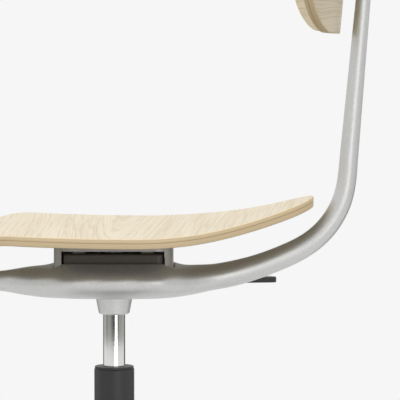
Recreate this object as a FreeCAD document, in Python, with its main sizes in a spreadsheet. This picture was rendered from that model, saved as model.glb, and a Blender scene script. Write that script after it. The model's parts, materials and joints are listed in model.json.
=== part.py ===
import FreeCAD, Part

import math
import os
from types import SimpleNamespace

import Sketcher

# A swivel chair with a plywood seat, in millimetres.
# +Z is up and the floor is z = 0. The origin lies on the floor on the axis of the column.
# The sitter faces -Y, so +X is the sitter's left hand and the upright stands at +Y.

DIMENSIONS = (
    # Castors
    ("wheel_radius", 30.0, "radius of a castor wheel"),
    ("wheel_width", 18.0, "width of one wheel"),
    ("wheel_tread", 5.5, "thickness of the rolling rim"),
    ("wheel_disc", 3.0, "thickness of the closed outer face"),
    ("wheel_hub", 9.0, "radius of the hub round the axle"),
    ("wheel_bevel", 1.6, "bevel at both edges of the tread"),
    ("castor_web", 13.0, "thickness of the web between the two wheels"),
    ("wheel_side_gap", 0.5, "play between web and wheel"),
    ("axle_radius", 4.0, "radius of the wheel axle"),
    ("hood_gap", 2.0, "room between wheel and hood"),
    ("hood_wall", 2.5, "wall of the hood"),
    ("hood_edge", 4.0, "height of the hood's edge over the axle"),
    ("web_drop", 17.0, "how far the web reaches below the axle"),
    ("castor_trail", 20.0, "offset of the axle behind the stem"),
    ("stem_radius", 5.5, "radius of the castor stem"),
    ("stem_bevel", 4.1, "bevel at the top of the castor stem"),
    ("stem_seat", 24.0, "length of stem held in the housing"),
    ("neck_radius", 11.0, "radius of the housing's neck round the stem"),
    ("neck_rise", 1.5, "how far the neck stands over the hood"),
    ("neck_gap", 2.0, "gap between neck and leg socket"),
    # Five-star base
    ("castor_circle", 290.0, "distance from the column to each castor stem"),
    ("socket_radius", 14.0, "radius of the socket at a leg's end"),
    ("socket_depth", 24.0, "depth of the stem hole"),
    ("socket_roof", 4.0, "thickness over the stem hole"),
    ("leg_root_width", 21.0, "half width of a leg at the hub"),
    ("leg_root_depth", 17.0, "half depth of a leg at the hub"),
    ("leg_root_rise", 35.0, "height of a leg's centre over the hub's foot"),
    ("leg_tip_width", 13.0, "half width of a leg at its socket"),
    ("leg_tip_depth", 10.0, "half depth of a leg at its socket"),
    ("hub_radius", 36.0, "radius of the hub at its foot"),
    ("hub_neck", 31.5, "radius of the hub at its top"),
    ("hub_height", 62.0, "height of the hub"),
    ("hub_drop", 6.0, "how far the hub hangs below the sockets"),
    # Gas column
    ("tube_radius", 25.0, "outer radius of the standing tube"),
    ("tube_wall", 2.5, "wall of the standing tube"),
    ("tube_floor", 6.0, "thickness of the standing tube's floor"),
    ("tube_length", 231.0, "length of the standing tube"),
    ("tube_taper", 1.5, "how much the tube's radius shrinks in the hub"),
    ("bush_length", 70.0, "length of the guide bush in the tube"),
    ("bush_lip", 3.0, "height of the bush's lip on the tube"),
    ("bush_inset", 0.8, "how far the lip stays inside the tube's edge"),
    ("chrome_show", 68.3, "chromed length between tube and spine"),
    ("pressure_radius", 14.0, "outer radius of the pressure tube"),
    ("pressure_wall", 2.0, "wall of the pressure tube"),
    ("pressure_length", 242.0, "length of the pressure tube"),
    ("pressure_cap", 8.0, "thickness of the pressure tube's head"),
    ("grip_length", 31.0, "length of the tapered grip in the spine"),
    ("grip_taper", 0.8, "how much the grip's radius shrinks upward"),
    ("gland_length", 17.0, "length of the rod gland"),
    ("rod_radius", 5.0, "radius of the piston rod"),
    ("rod_groove", 4.2, "radius of the rod in the clip's groove"),
    ("rod_spigot", 4.0, "radius of the rod inside the piston"),
    ("rod_reach", 185.0, "rod length from its collar to the piston"),
    ("rod_tail", 5.0, "rod length below the tube's floor"),
    ("collar_radius", 9.0, "radius of the rod's collar"),
    ("collar_height", 4.0, "height of the rod's collar"),
    ("piston_length", 18.0, "length of the piston"),
    ("race_radius", 12.0, "outer radius of the bearing races"),
    ("race_height", 2.0, "thickness of a bearing race"),
    ("ball_radius", 2.0, "radius of a bearing ball"),
    ("clip_radius", 8.0, "outer radius of the retaining clip"),
    ("clip_height", 1.4, "thickness of the retaining clip"),
    ("valve_radius", 3.0, "radius of the valve pin"),
    ("button_radius", 4.5, "radius of the valve button"),
    ("button_height", 3.5, "height of the valve button"),
    ("button_rise", 7.0, "height of the button over the pressure tube"),
    # Spine
    ("cup_drop", 41.2, "height of the spine's axis over the cup's foot"),
    ("cup_low_radius", 18.9, "radius of the cup near its foot"),
    ("cup_top_radius", 24.5, "radius of the cup inside the spine"),
    ("cup_round", 4.0, "rounding of the cup's foot"),
    ("saddle_depth", 23.5, "half depth of the spine at the column"),
    ("shoulder_depth", 19.3, "half depth beside the saddle"),
    ("neck_depth", 16.7, "half depth where the tail leaves the saddle"),
    ("tail_depth", 15.1, "half depth half way up the slow rise"),
    ("bend_depth", 14.3, "half depth before the tight bend"),
    ("upright_depth", 11.95, "half depth at the foot of the upright"),
    ("top_depth", 8.9, "half depth at the top of the upright"),
    ("nose_depth", 15.2, "half depth of the nose"),
    ("saddle_swell", 58.0, "extra half width at the column"),
    ("shoulder_swell", 30.0, "extra half width beside the saddle"),
    ("neck_swell", 13.0, "extra half width at the tail's root"),
    ("tube_swell", 1.4, "extra half width along the tail"),
    ("saddle_reach", 60.0, "half length of the saddle's full width"),
    ("saddle_ease", 18.0, "length over which the saddle starts to narrow"),
    ("shoulder_reach", 98.0, "distance of the shoulders from the column"),
    ("nose_reach", 150.0, "distance of the nose's root from the column"),
    ("nose_length", 22.0, "length of the rounded nose"),
    ("nose_tuck", 4.0, "how far the nose's centre lies inside the spine"),
    ("bend_start", 67.2, "where the tail starts to rise"),
    ("rise_radius", 356.5, "radius of the tail's slow rise"),
    ("rise_angle", 27.2, "slope at the end of the slow rise"),
    ("bend_radius", 110.9, "radius of the tight bend"),
    ("upright_angle", 85.0, "slope of the upright"),
    ("upright_length", 270.0, "length of the straight upright"),
    ("barrel_radius", 12.5, "radius of the barrel at the upright's top"),
    ("barrel_half", 20.0, "half length of the barrel"),
    # Saddle tray and tilt block
    ("floor_rise", 11.5, "height of the tray's floor over the spine's axis"),
    ("tray_depth", 14.5, "depth of the tray"),
    ("rim_wall", 2.4, "wall of the tray's rim"),
    ("belly_drop", 26.5, "height from the saddle's widest line to its rim"),
    ("belly_wide", 24.0, "extra half width at the saddle's widest line"),
    ("belly_long", 16.0, "extra half length at the saddle's widest line"),
    ("belly_round", 24.0, "extra corner radius at the saddle's widest line"),
    ("foot_drop", 18.0, "height from the saddle's foot to its widest line"),
    ("foot_narrow", 27.5, "how much half width the saddle loses toward its foot"),
    ("foot_short", 27.0, "how much half length the saddle loses toward its foot"),
    ("foot_round", 12.0, "how much corner radius the saddle loses toward its foot"),
    ("rim_corner", 24.0, "corner radius of the tray"),
    ("block_height", 26.5, "height of the tilt block"),
    ("block_half_length", 62.6, "half length of the tilt block"),
    ("block_half_width", 50.5, "half width of the tilt block"),
    ("block_corner", 8.0, "corner radius of the tilt block"),
    ("block_round", 3.0, "rounding of the block's top edge"),
    ("block_wall", 8.0, "wall of the tilt block"),
    ("block_floor", 4.0, "floor of the tilt block"),
    ("block_rib", 5.0, "ribs across the tilt block"),
    ("well_half", 15.0, "half length of the well round the axle"),
    ("tilt_gap", 2.5, "gap between block and carrier"),
    ("tilt_axle_rise", 14.0, "height of the tilt axle over the tray's floor"),
    ("tilt_axle_radius", 5.0, "radius of the tilt axle"),
    ("tilt_axle_cover", 3.0, "block wall left outside the axle's end"),
    ("buffer_length", 15.0, "length of a rubber buffer"),
    ("buffer_width", 4.4, "width of a rubber buffer"),
    ("buffer_reach", 42.0, "distance of the buffers from the tilt axle"),
    ("block_screw_x", 25.0, "sideways place of the block's screws"),
    ("block_screw_y", 45.0, "lengthwise place of the block's screws"),
    ("side_screw_x", 31.0, "sideways place of the screw beside the lever"),
    ("side_screw_y", 25.5, "lengthwise place of the screw beside the lever"),
    ("block_screw_radius", 2.5, "radius of a block screw"),
    ("block_screw_head", 4.5, "radius of a block screw's head"),
    ("block_screw_height", 3.0, "height of a block screw's head"),
    ("block_screw_depth", 14.0, "thread length in the spine"),
    # Seat carrier
    ("carrier_half_length", 73.8, "half length of the carrier"),
    ("carrier_half_width", 52.0, "half width of the carrier's walls"),
    ("carrier_wing", 80.0, "half width of the carrier's plate"),
    ("carrier_corner", 10.0, "corner radius of the carrier's plate"),
    ("skirt_corner", 23.0, "corner radius of the carrier's walls"),
    ("carrier_height", 14.0, "height of the carrier's side walls with the plate"),
    ("carrier_plate", 4.0, "thickness of the carrier's plate"),
    ("carrier_end", 10.0, "thickness of the carrier's end walls"),
    ("carrier_side", 6.0, "thickness of the carrier's side walls"),
    ("carrier_end_gap", 0.9, "gap between carrier and tray ends"),
    ("carrier_side_gap", 2.4, "gap between carrier and tray sides"),
    ("carrier_foot_gap", 3.2, "gap between carrier and tray floor"),
    ("lug_inner", 10.0, "inner face of the carrier's lugs"),
    ("lug_thickness", 8.0, "thickness of a lug"),
    ("lug_half", 11.0, "half length of a lug"),
    ("lug_drop", 8.0, "how far a lug reaches below the axle"),
    ("seat_screw_x", 66.0, "sideways place of the seat screws"),
    ("seat_screw_y", 48.0, "lengthwise place of the seat screws"),
    ("screw_radius", 3.0, "radius of a wood-insert screw"),
    ("screw_head", 6.0, "radius of its head"),
    ("screw_height", 3.0, "height of its head"),
    ("insert_radius", 4.5, "radius of a wood insert"),
    ("insert_depth", 8.0, "depth of a wood insert"),
    ("pad_radius", 11.0, "radius of a spacer under the plywood"),
    ("pad_thickness", 1.0, "least thickness of a spacer"),
    # Seat
    ("seat_ply", 12.0, "thickness of the seat plywood"),
    ("seat_half_width", 210.0, "half width of the seat"),
    ("seat_low", 35.0, "where the seat is lowest"),
    ("seat_rear_radius", 606.0, "radius of the rising rear half"),
    ("seat_front_radius", 2904.0, "radius of the flat front half"),
    ("seat_front_reach", 150.0, "length of the flat front half"),
    ("seat_fall_radius", 110.0, "radius of the rounded front edge"),
    ("seat_fall_angle", 35.0, "slope at the front edge"),
    ("seat_shoulder", 25.0, "where the seat starts to narrow"),
    ("seat_shoulder_radius", 150.0, "radius of the seat's shoulders"),
    ("seat_flank", 45.0, "angle of the seat's flanks"),
    ("seat_tip_radius", 118.0, "radius of the seat's rear tip"),
    ("seat_corner", 80.0, "radius of the seat's front corners"),
    ("seat_margin", 6.0, "how far the bent sheet passes the outline"),
    ("seat_cut", 250.0, "how far the outline's cutter passes the seat"),
    # Height lever
    ("lever_swing", 36.2, "angle between the lever and the spine, seen from above"),
    ("lever_slope", 2.3, "how far the lever drops outward"),
    ("lever_reach", 252.0, "distance of the lever's tip from the column"),
    ("lever_pivot", 35.0, "distance of the lever's pin from the column"),
    ("lever_heel", 9.0, "how far the lever passes the column"),
    ("lever_thickness", 4.0, "thickness of the lever bar"),
    ("lever_width", 14.0, "width of the lever bar"),
    ("lever_play", 0.1, "play between lever and valve button"),
    ("lever_boss", 5.0, "radius of the lever's eye"),
    ("pin_radius", 2.5, "radius of the lever pin"),
    ("pin_grip", 8.0, "length of pin held at each end"),
    ("grip_reach", 112.0, "length of the lever's grip"),
    ("grip_thickness", 7.1, "thickness of the lever's grip"),
    ("grip_width", 23.0, "width of the lever's grip"),
    ("grip_hold", 84.0, "length of bar inside the grip"),
    ("pocket_width", 24.0, "width of the lever's pocket in the spine"),
    ("pocket_back", 15.0, "how far the pocket passes the column"),
    ("pocket_reach", 125.0, "how far the pocket runs toward the grip"),
    ("pocket_drop", 9.0, "depth of the pocket below the lever's pin"),
    # Backrest
    ("back_ply", 10.0, "thickness of the back plywood"),
    ("back_radius", 390.0, "bend radius of the back's rear face"),
    ("back_half_width", 195.0, "half width of the back"),
    ("back_below", 92.0, "how far the back reaches below its pivot"),
    ("back_above", 118.0, "how far the back reaches above its pivot"),
    ("back_corner", 88.0, "corner radius of the back"),
    ("plate_front", 24.0, "distance of the plate's front from the pivot"),
    ("plate_thickness", 4.0, "thickness of the back plate"),
    ("plate_half_width", 40.0, "half width of the back plate"),
    ("plate_half_height", 32.0, "half height of the back plate"),
    ("plate_corner", 10.0, "corner radius of the back plate"),
    ("ear_thickness", 6.0, "thickness of the plate's ears"),
    ("ear_gap", 0.6, "gap between barrel and ears"),
    ("ear_radius", 10.0, "radius of the ears round the pin"),
    ("back_pin_radius", 4.0, "radius of the back's pin"),
    ("back_pin_head", 1.5, "how far the pin passes the ears"),
    ("back_bush_wall", 4.0, "wall of the rubber bush in the barrel"),
    ("back_screw_x", 31.0, "sideways place of the back screws"),
    ("back_screw_z", 21.0, "height of the back screws from the pivot"),
    ("back_insert_depth", 6.5, "depth of the back's wood inserts"),
    # Fits
    ("run_clearance", 0.05, "radial play of a running fit"),
    ("seat_clearance", 0.02, "radial play of a seat that doesn't turn"),
    ("end_clearance", 0.1, "play at the end of a pin or a screw"),
)

LEG_COUNT = 5
BALL_COUNT = 8
BEND_STEPS = 4
UPRIGHT_STEPS = 10
FLANK_STEPS = 3
FOOT_STEPS = 2

doc = FreeCAD.newDocument("SwivelChair")
sheet = doc.addObject("Spreadsheet::Sheet", "Sizes")
for row, (alias, number, meaning) in enumerate(DIMENSIONS, start=1):
    sheet.set(f"A{row}", alias)
    sheet.set(f"B{row}", str(number))
    sheet.setAlias(f"B{row}", alias)
    sheet.set(f"C{row}", meaning)
doc.recompute()


class Size:
    """A number together with the expression that gives it from the sheet."""

    def __init__(self, value, text):
        self.value = value
        self.text = text

    def __add__(self, other):
        other = as_size(other)
        return Size(self.value + other.value, f"({self.text} + {other.text})")

    def __sub__(self, other):
        other = as_size(other)
        return Size(self.value - other.value, f"({self.text} - {other.text})")

    def __mul__(self, other):
        other = as_size(other)
        return Size(self.value * other.value, f"({self.text} * {other.text})")

    def __truediv__(self, other):
        other = as_size(other)
        return Size(self.value / other.value, f"({self.text} / {other.text})")

    def __neg__(self):
        return Size(-self.value, f"(0 - {self.text})")

    def __radd__(self, other):
        return as_size(other) + self

    def __rsub__(self, other):
        return as_size(other) - self

    def __rmul__(self, other):
        return as_size(other) * self


def as_size(number):
    if isinstance(number, Size):
        return number
    return Size(float(number), f"({float(number):.6f})")


def sine(angle):
    angle = as_size(angle)
    return Size(math.sin(math.radians(angle.value)), f"sin({angle.text})")


def cosine(angle):
    angle = as_size(angle)
    return Size(math.cos(math.radians(angle.value)), f"cos({angle.text})")


def root(number):
    return Size(math.sqrt(number.value), f"sqrt({number.text})")


d = SimpleNamespace(**{alias: Size(number, f"Sizes.{alias}") for alias, number, meaning in DIMENSIONS})
nodes = []


def bind(item, prop, size):
    size = as_size(size)
    item.setExpression(prop, size.text)


def place(item, x, y, z, axis=None, angle=None):
    """Put an object at x, y, z, turned by an angle about an axis."""
    if axis is not None:
        turn = FreeCAD.Rotation(FreeCAD.Vector(*axis), as_size(angle).value)
        item.Placement = FreeCAD.Placement(FreeCAD.Vector(0, 0, 0), turn)
        if isinstance(angle, Size):
            bind(item, "Placement.Rotation.Angle", angle)
    for letter, size in zip("xyz", (x, y, z)):
        bind(item, f"Placement.Base.{letter}", size)
    return item


def node(item, name):
    """Mark an object as one named piece of the chair."""
    item.Label = name
    nodes.append(item)
    return item


def cylinder(name, radius, length, x, y, z, along="Z"):
    item = doc.addObject("Part::Cylinder", name)
    bind(item, "Radius", radius)
    bind(item, "Height", length)
    turns = {"Z": (None, None), "X": ((0, 1, 0), 90), "-X": ((0, 1, 0), -90), "Y": ((1, 0, 0), -90)}
    axis, angle = turns[along]
    return place(item, x, y, z, axis, angle)


def cone(name, radius_low, radius_high, height, z):
    item = doc.addObject("Part::Cone", name)
    bind(item, "Radius1", radius_low)
    bind(item, "Radius2", radius_high)
    bind(item, "Height", height)
    return place(item, 0, 0, z)


def box(name, x, y, z):
    """A box between pairs of limits."""
    item = doc.addObject("Part::Box", name)
    for prop, limits in zip(("Length", "Width", "Height"), (x, y, z)):
        bind(item, prop, as_size(limits[1]) - limits[0])
    return place(item, x[0], y[0], z[0])


def fuse(name, pieces):
    item = doc.addObject("Part::MultiFuse", name)
    item.Shapes = pieces
    return item


def cut(name, base, tools):
    item = doc.addObject("Part::Cut", name)
    item.Base = base
    item.Tool = tools[0] if len(tools) == 1 else fuse(name + "_tools", tools)
    return item


def group(name, pieces):
    """Identical loose pieces that share one node."""
    item = doc.addObject("Part::Compound", name)
    item.Links = pieces
    return item


def arc_between(start, end, radius):
    """An arc from start to end that bends left for a positive radius and right for a negative one."""
    side = 1.0 if radius > 0 else -1.0
    chord = end - start
    middle = (start + end) * 0.5
    left = FreeCAD.Vector(-chord.y, chord.x, 0).normalize()
    reach = math.sqrt(max(radius * radius - chord.Length * chord.Length / 4.0, 0.0))
    centre = middle + left * (side * reach)
    circle = Part.Circle(centre, FreeCAD.Vector(0, 0, 1), abs(radius))
    first, last = (start, end) if side > 0 else (end, start)
    angles = [math.atan2(point.y - centre.y, point.x - centre.x) for point in (first, last)]
    return Part.ArcOfCircle(circle, angles[0], angles[1])


def draw(sketch, corners, arcs=None):
    """Close a loop through the corners; arcs gives the signed radius of each rounded edge by its number."""
    arcs = arcs or {}
    corners = [(as_size(u), as_size(v)) for u, v in corners]
    points = [FreeCAD.Vector(u.value, v.value, 0) for u, v in corners]
    count = len(corners)
    first = sketch.GeometryCount
    ends = []
    for i in range(count):
        start, end = points[i], points[(i + 1) % count]
        if i in arcs:
            sketch.addGeometry(arc_between(start, end, as_size(arcs[i]).value), False)
            ends.append((1, 2) if as_size(arcs[i]).value > 0 else (2, 1))
        else:
            sketch.addGeometry(Part.LineSegment(start, end), False)
            ends.append((1, 2))
    for i in range(count):
        following = (i + 1) % count
        last, start = ends[i][1], ends[following][0]
        sketch.addConstraint(Sketcher.Constraint("Coincident", first + i, last, first + following, start))
    for i, (u, v) in enumerate(corners):
        for kind, size in (("DistanceX", u), ("DistanceY", v)):
            rule = Sketcher.Constraint(kind, -1, 1, first + i, ends[i][0], size.value)
            bind(sketch, f"Constraints[{sketch.addConstraint(rule)}]", size)
        if i in arcs:
            radius = as_size(arcs[i])
            radius = radius if radius.value > 0 else -radius
            rule = Sketcher.Constraint("Radius", first + i, radius.value)
            bind(sketch, f"Constraints[{sketch.addConstraint(rule)}]", radius)
    return sketch


def rounded_rectangle(sketch, half_u, half_v, corner):
    half_u, half_v, corner = as_size(half_u), as_size(half_v), as_size(corner)
    u, v = half_u - corner, half_v - corner
    corners = [
        (-u, -half_v), (u, -half_v), (half_u, -v), (half_u, v),
        (u, half_v), (-u, half_v), (-half_u, v), (-half_u, -v),
    ]
    return draw(sketch, corners, {1: corner, 3: corner, 5: corner, 7: corner})


def loose_sketch(name, z):
    """A level sketch that stands by itself."""
    return place(doc.addObject("Sketcher::SketchObject", name), 0, 0, z)


def prism(name, half_u, half_v, corner, low, high):
    """An upright block with rounded corners."""
    outline = rounded_rectangle(loose_sketch(name + "_outline", low), half_u, half_v, corner)
    item = doc.addObject("Part::Extrusion", name)
    item.Base = outline
    item.DirMode = "Custom"
    item.Dir = FreeCAD.Vector(0, 0, 1)
    item.Solid = True
    bind(item, "LengthFwd", as_size(high) - low)
    return item


def new_body(name):
    return doc.addObject("PartDesign::Body", name)


def body_sketch(body, role, name):
    plane = [feature for feature in body.Origin.OriginFeatures if feature.Role == role][0]
    sketch = body.newObject("Sketcher::SketchObject", name)
    sketch.AttachmentSupport = (plane, [""])
    sketch.MapMode = "FlatFace"
    return sketch


def turned(name, profile, arcs=None):
    """A piece turned about the vertical axis, from its half section of radius and height."""
    body = new_body(name)
    sketch = draw(body_sketch(body, "XZ_Plane", name + "_section"), profile, arcs)
    spin = body.newObject("PartDesign::Revolution", name + "_turn")
    spin.Profile = sketch
    spin.ReferenceAxis = (sketch, ["V_Axis"])
    spin.Angle = 360.0
    return body


def ring(name, inner, outer, low, high):
    return turned(name, [(inner, low), (outer, low), (outer, high), (inner, high)])


def loft(name, sections):
    item = doc.addObject("Part::Loft", name)
    item.Sections = sections
    item.Solid = True
    item.Ruled = False
    item.MaxDegree = 4
    return item


# Heights, stacked from the floor
axle_z = d.wheel_radius
hood_radius = d.wheel_radius + d.hood_gap + d.hood_wall
neck_top = axle_z + hood_radius + d.neck_rise
socket_bottom = neck_top + d.neck_gap
socket_height = d.socket_depth + d.socket_roof
hub_bottom = socket_bottom - d.hub_drop
hub_top = hub_bottom + d.hub_height
tube_top = hub_bottom + d.tube_length
floor_top = hub_bottom + d.tube_floor
race_top = floor_top + d.race_height
upper_race_low = race_top + d.ball_radius * 2
collar_low = upper_race_low + d.race_height
collar_top = collar_low + d.collar_height
piston_low = collar_top + d.rod_reach
cup_bottom = tube_top + d.chrome_show
pressure_top = cup_bottom + d.grip_length
pressure_low = pressure_top - d.pressure_length
button_top = pressure_top + d.button_rise
spine_z = cup_bottom + d.cup_drop
tray_floor = spine_z + d.floor_rise
rim_top = tray_floor + d.tray_depth
block_top = tray_floor + d.block_height
skirt_bottom = block_top + d.tilt_gap
carrier_top = skirt_bottom + d.carrier_height
plate_low = carrier_top - d.carrier_plate
seat_under = carrier_top + d.pad_thickness
seat_top = seat_under + d.seat_ply

# Castors: two wheels on one axle, a hooded housing and a stem that turns in the leg's socket
castor_half = d.castor_web / 2 + d.wheel_side_gap + d.wheel_width
wheel_face = d.castor_web / 2 + d.wheel_side_gap
axle_half = castor_half - d.wheel_disc - d.wheel_bevel - d.end_clearance * 2


def castor_wheel(name, x, y, turn):
    """A cup-shaped wheel whose closed face looks outward."""
    disc_low = d.wheel_width - d.wheel_disc - d.wheel_bevel
    bore = d.axle_radius + d.run_clearance
    rim = d.wheel_radius - d.wheel_tread
    shoulder = d.wheel_radius - d.wheel_bevel
    dish = d.wheel_width - d.wheel_bevel
    profile = [
        (0, disc_low), (bore, disc_low), (bore, 0), (d.wheel_hub, 0), (d.wheel_hub, disc_low),
        (rim, disc_low), (rim, 0), (shoulder, 0), (d.wheel_radius, d.wheel_bevel),
        (d.wheel_radius, dish), (shoulder, d.wheel_width), (rim, d.wheel_width), (rim - d.wheel_bevel, dish),
        (0, dish),
    ]
    return place(turned(name, profile), x, y, axle_z, (0, 1, 0), turn)


def castor(number):
    bearing = -90.0 + 360.0 / LEG_COUNT * (number - 1)
    x, y = d.castor_circle * cosine(bearing), d.castor_circle * sine(bearing)
    axle_y = y + d.castor_trail
    name = f"castor_{number}"
    web = d.castor_web / 2
    stem_foot = neck_top - d.stem_seat
    below = axle_z - hood_radius - 5

    drum = cylinder(name + "_drum", hood_radius, castor_half * 2, x - castor_half, axle_y, axle_z, "X")
    neck = cylinder(name + "_neck", d.neck_radius, neck_top - axle_z, x, y, axle_z)
    room = d.wheel_radius + d.hood_gap
    rooms = [
        cylinder(name + "_room_left", room, castor_half, x + web, axle_y, axle_z, "X"),
        cylinder(name + "_room_right", room, castor_half, x - web, axle_y, axle_z, "-X"),
    ]
    sides = ((x + web, x + castor_half * 2), (x - castor_half * 2, x - web))
    span = (axle_y - hood_radius - d.neck_radius, axle_y + hood_radius + 5)
    skirts = [
        box(f"{name}_skirt_{index}", side, span, (below, axle_z + d.hood_edge))
        for index, side in enumerate(sides)
    ]
    foot = box(name + "_foot", (x - castor_half * 2, x + castor_half * 2), span, (below, axle_z - d.web_drop))
    stem_room, axle_room = d.stem_radius + d.seat_clearance, d.axle_radius + d.seat_clearance
    stem_bore = cylinder(name + "_stem_bore", stem_room, d.stem_seat + 5, x, y, stem_foot)
    axle_bore = cylinder(
        name + "_axle_bore", axle_room, castor_half * 2, x - castor_half, axle_y, axle_z, "X"
    )
    shell = fuse(name + "_shell", [drum, neck])
    housing = cut(name + "_housing", shell, rooms + skirts + [foot, stem_bore, axle_bore])
    node(housing, name + "_housing")

    stem_top = socket_bottom + d.socket_depth - d.end_clearance
    bevel_start, bevel_end = stem_top - d.stem_bevel, d.stem_radius - d.stem_bevel
    stem = turned(
        name + "_stem",
        [
            (0, stem_foot), (d.stem_radius, stem_foot), (d.stem_radius, bevel_start), (bevel_end, stem_top),
            (0, stem_top),
        ],
    )
    node(place(stem, x, y, 0), name + "_stem")
    axle = cylinder(name + "_axle", d.axle_radius, axle_half * 2, x - axle_half, axle_y, axle_z, "X")
    node(axle, name + "_axle")
    node(castor_wheel(name + "_wheel_left", x + wheel_face, axle_y, 90), name + "_wheel_left")
    node(castor_wheel(name + "_wheel_right", x - wheel_face, axle_y, -90), name + "_wheel_right")


for number in range(1, LEG_COUNT + 1):
    castor(number)


# Five-star base: a hub with tapering legs, each with a socket for a castor stem
def base_leg(number):
    bearing = -90.0 + 360.0 / LEG_COUNT * (number - 1)
    radial = FreeCAD.Vector(math.cos(math.radians(bearing)), math.sin(math.radians(bearing)), 0)
    upward = FreeCAD.Vector(0, 0, 1)
    turn = FreeCAD.Rotation(upward.cross(radial), upward, radial, "ZXY")
    tip_z = socket_bottom + socket_height / 2
    root_z = hub_bottom + d.leg_root_rise
    sections = []
    for index, share in enumerate((0.05, 0.5, 1.0)):
        oval = doc.addObject("Part::Ellipse", f"leg_{number}_oval_{index}")
        bind(oval, "MajorRadius", d.leg_root_width * (1 - share) + d.leg_tip_width * share)
        bind(oval, "MinorRadius", d.leg_root_depth * (1 - share) + d.leg_tip_depth * share)
        oval.Placement = FreeCAD.Placement(FreeCAD.Vector(0, 0, 0), turn)
        reach = d.castor_circle * share
        arch = 4.0 * share * (1.0 - share)
        height = root_z * (1 - share) + tip_z * share + d.leg_tip_depth * (0.3 * arch)
        place(oval, reach * cosine(bearing), reach * sine(bearing), height)
        sections.append(oval)
    x, y = d.castor_circle * cosine(bearing), d.castor_circle * sine(bearing)
    socket = cylinder(f"leg_{number}_socket", d.socket_radius, socket_height, x, y, socket_bottom)
    bore = cylinder(
        f"leg_{number}_bore", d.stem_radius + d.run_clearance, d.socket_depth + 5, x, y, socket_bottom - 5
    )
    return [loft(f"leg_{number}", sections), socket], bore


star_pieces = [cone("hub", d.hub_radius, d.hub_neck, d.hub_height, hub_bottom)]
star_bores = [
    cone(
        "hub_bore", d.tube_radius - d.tube_taper + d.seat_clearance, d.tube_radius + d.seat_clearance,
        d.hub_height, hub_bottom,
    )
]
for number in range(1, LEG_COUNT + 1):
    leg_pieces, leg_bore = base_leg(number)
    star_pieces += leg_pieces
    star_bores.append(leg_bore)
node(cut("base_star", fuse("star_blank", star_pieces), star_bores), "base_star")

# Gas column: standing tube, guide bush, thrust bearing, rod and pressure tube
tube_inner = d.tube_radius - d.tube_wall
floor_bore = d.rod_radius + d.run_clearance
node(
    turned(
        "standing_tube",
        [
            (floor_bore, hub_bottom), (d.tube_radius - d.tube_taper, hub_bottom), (d.tube_radius, hub_top),
            (d.tube_radius, tube_top), (tube_inner, tube_top), (tube_inner, hub_top),
            (tube_inner - d.tube_taper, floor_top), (floor_bore, floor_top),
        ],
    ),
    "standing_tube",
)
bush_bore = d.pressure_radius + d.run_clearance
bush_outer = tube_inner - d.seat_clearance
lip_radius = d.tube_radius - d.bush_inset
node(
    turned(
        "guide_bush",
        [
            (bush_bore, tube_top - d.bush_length), (bush_outer, tube_top - d.bush_length),
            (bush_outer, tube_top), (lip_radius, tube_top),
            (lip_radius, tube_top + d.bush_lip), (bush_bore, tube_top + d.bush_lip),
        ],
    ),
    "guide_bush",
)
rod_run = d.rod_radius + d.run_clearance
node(ring("lower_race", rod_run, d.race_radius, floor_top, race_top), "lower_race")
ball_track = (rod_run + d.race_radius) / 2
balls = []
for index in range(BALL_COUNT):
    bearing = 360.0 / BALL_COUNT * index
    ball = doc.addObject("Part::Sphere", f"ball_{index}")
    bind(ball, "Radius", d.ball_radius)
    place(ball, ball_track * cosine(bearing), ball_track * sine(bearing), race_top + d.ball_radius)
    balls.append(ball)
node(group("thrust_balls", balls), "thrust_balls")
rod_seat = d.rod_radius + d.seat_clearance
node(ring("upper_race", rod_seat, d.race_radius, upper_race_low, collar_low), "upper_race")

clip_high = hub_bottom - d.end_clearance
clip_low = clip_high - d.clip_height
rod_low = hub_bottom - d.rod_tail
piston_high = piston_low + d.piston_length
node(
    turned(
        "piston_rod",
        [
            (0, rod_low), (d.rod_radius, rod_low), (d.rod_radius, clip_low - d.end_clearance),
            (d.rod_groove, clip_low - d.end_clearance), (d.rod_groove, clip_high), (d.rod_radius, clip_high),
            (d.rod_radius, collar_low), (d.collar_radius, collar_low), (d.collar_radius, collar_top),
            (d.rod_radius, collar_top), (d.rod_radius, piston_low), (d.rod_spigot, piston_low),
            (d.rod_spigot, piston_high), (0, piston_high),
        ],
    ),
    "piston_rod",
)
clip_bore = d.rod_groove + d.seat_clearance
node(ring("retaining_clip", clip_bore, d.clip_radius, clip_low, clip_high), "retaining_clip")
pressure_inner = d.pressure_radius - d.pressure_wall
piston_bore, piston_edge = d.rod_spigot + d.seat_clearance, pressure_inner - d.run_clearance
node(ring("piston", piston_bore, piston_edge, piston_low, piston_high), "piston")
valve_bore = d.valve_radius + d.run_clearance
head_low = pressure_top - d.pressure_cap
grip_high = d.pressure_radius - d.grip_taper
node(
    turned(
        "pressure_tube",
        [
            (pressure_inner, pressure_low), (d.pressure_radius, pressure_low),
            (d.pressure_radius, cup_bottom), (grip_high, pressure_top),
            (valve_bore, pressure_top), (valve_bore, head_low),
            (pressure_inner, head_low),
        ],
    ),
    "pressure_tube",
)
node(
    ring(
        "rod_gland", d.rod_radius + d.run_clearance, pressure_inner - d.seat_clearance,
        pressure_low, pressure_low + d.gland_length,
    ),
    "rod_gland",
)
valve_foot = head_low - d.end_clearance
button_low = button_top - d.button_height
node(
    turned(
        "valve_pin",
        [
            (0, valve_foot - d.button_height), (d.button_radius, valve_foot - d.button_height),
            (d.button_radius, valve_foot), (d.valve_radius, valve_foot), (d.valve_radius, button_low),
            (d.button_radius, button_low), (d.button_radius, button_top), (0, button_top),
        ],
    ),
    "valve_pin",
)


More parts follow.
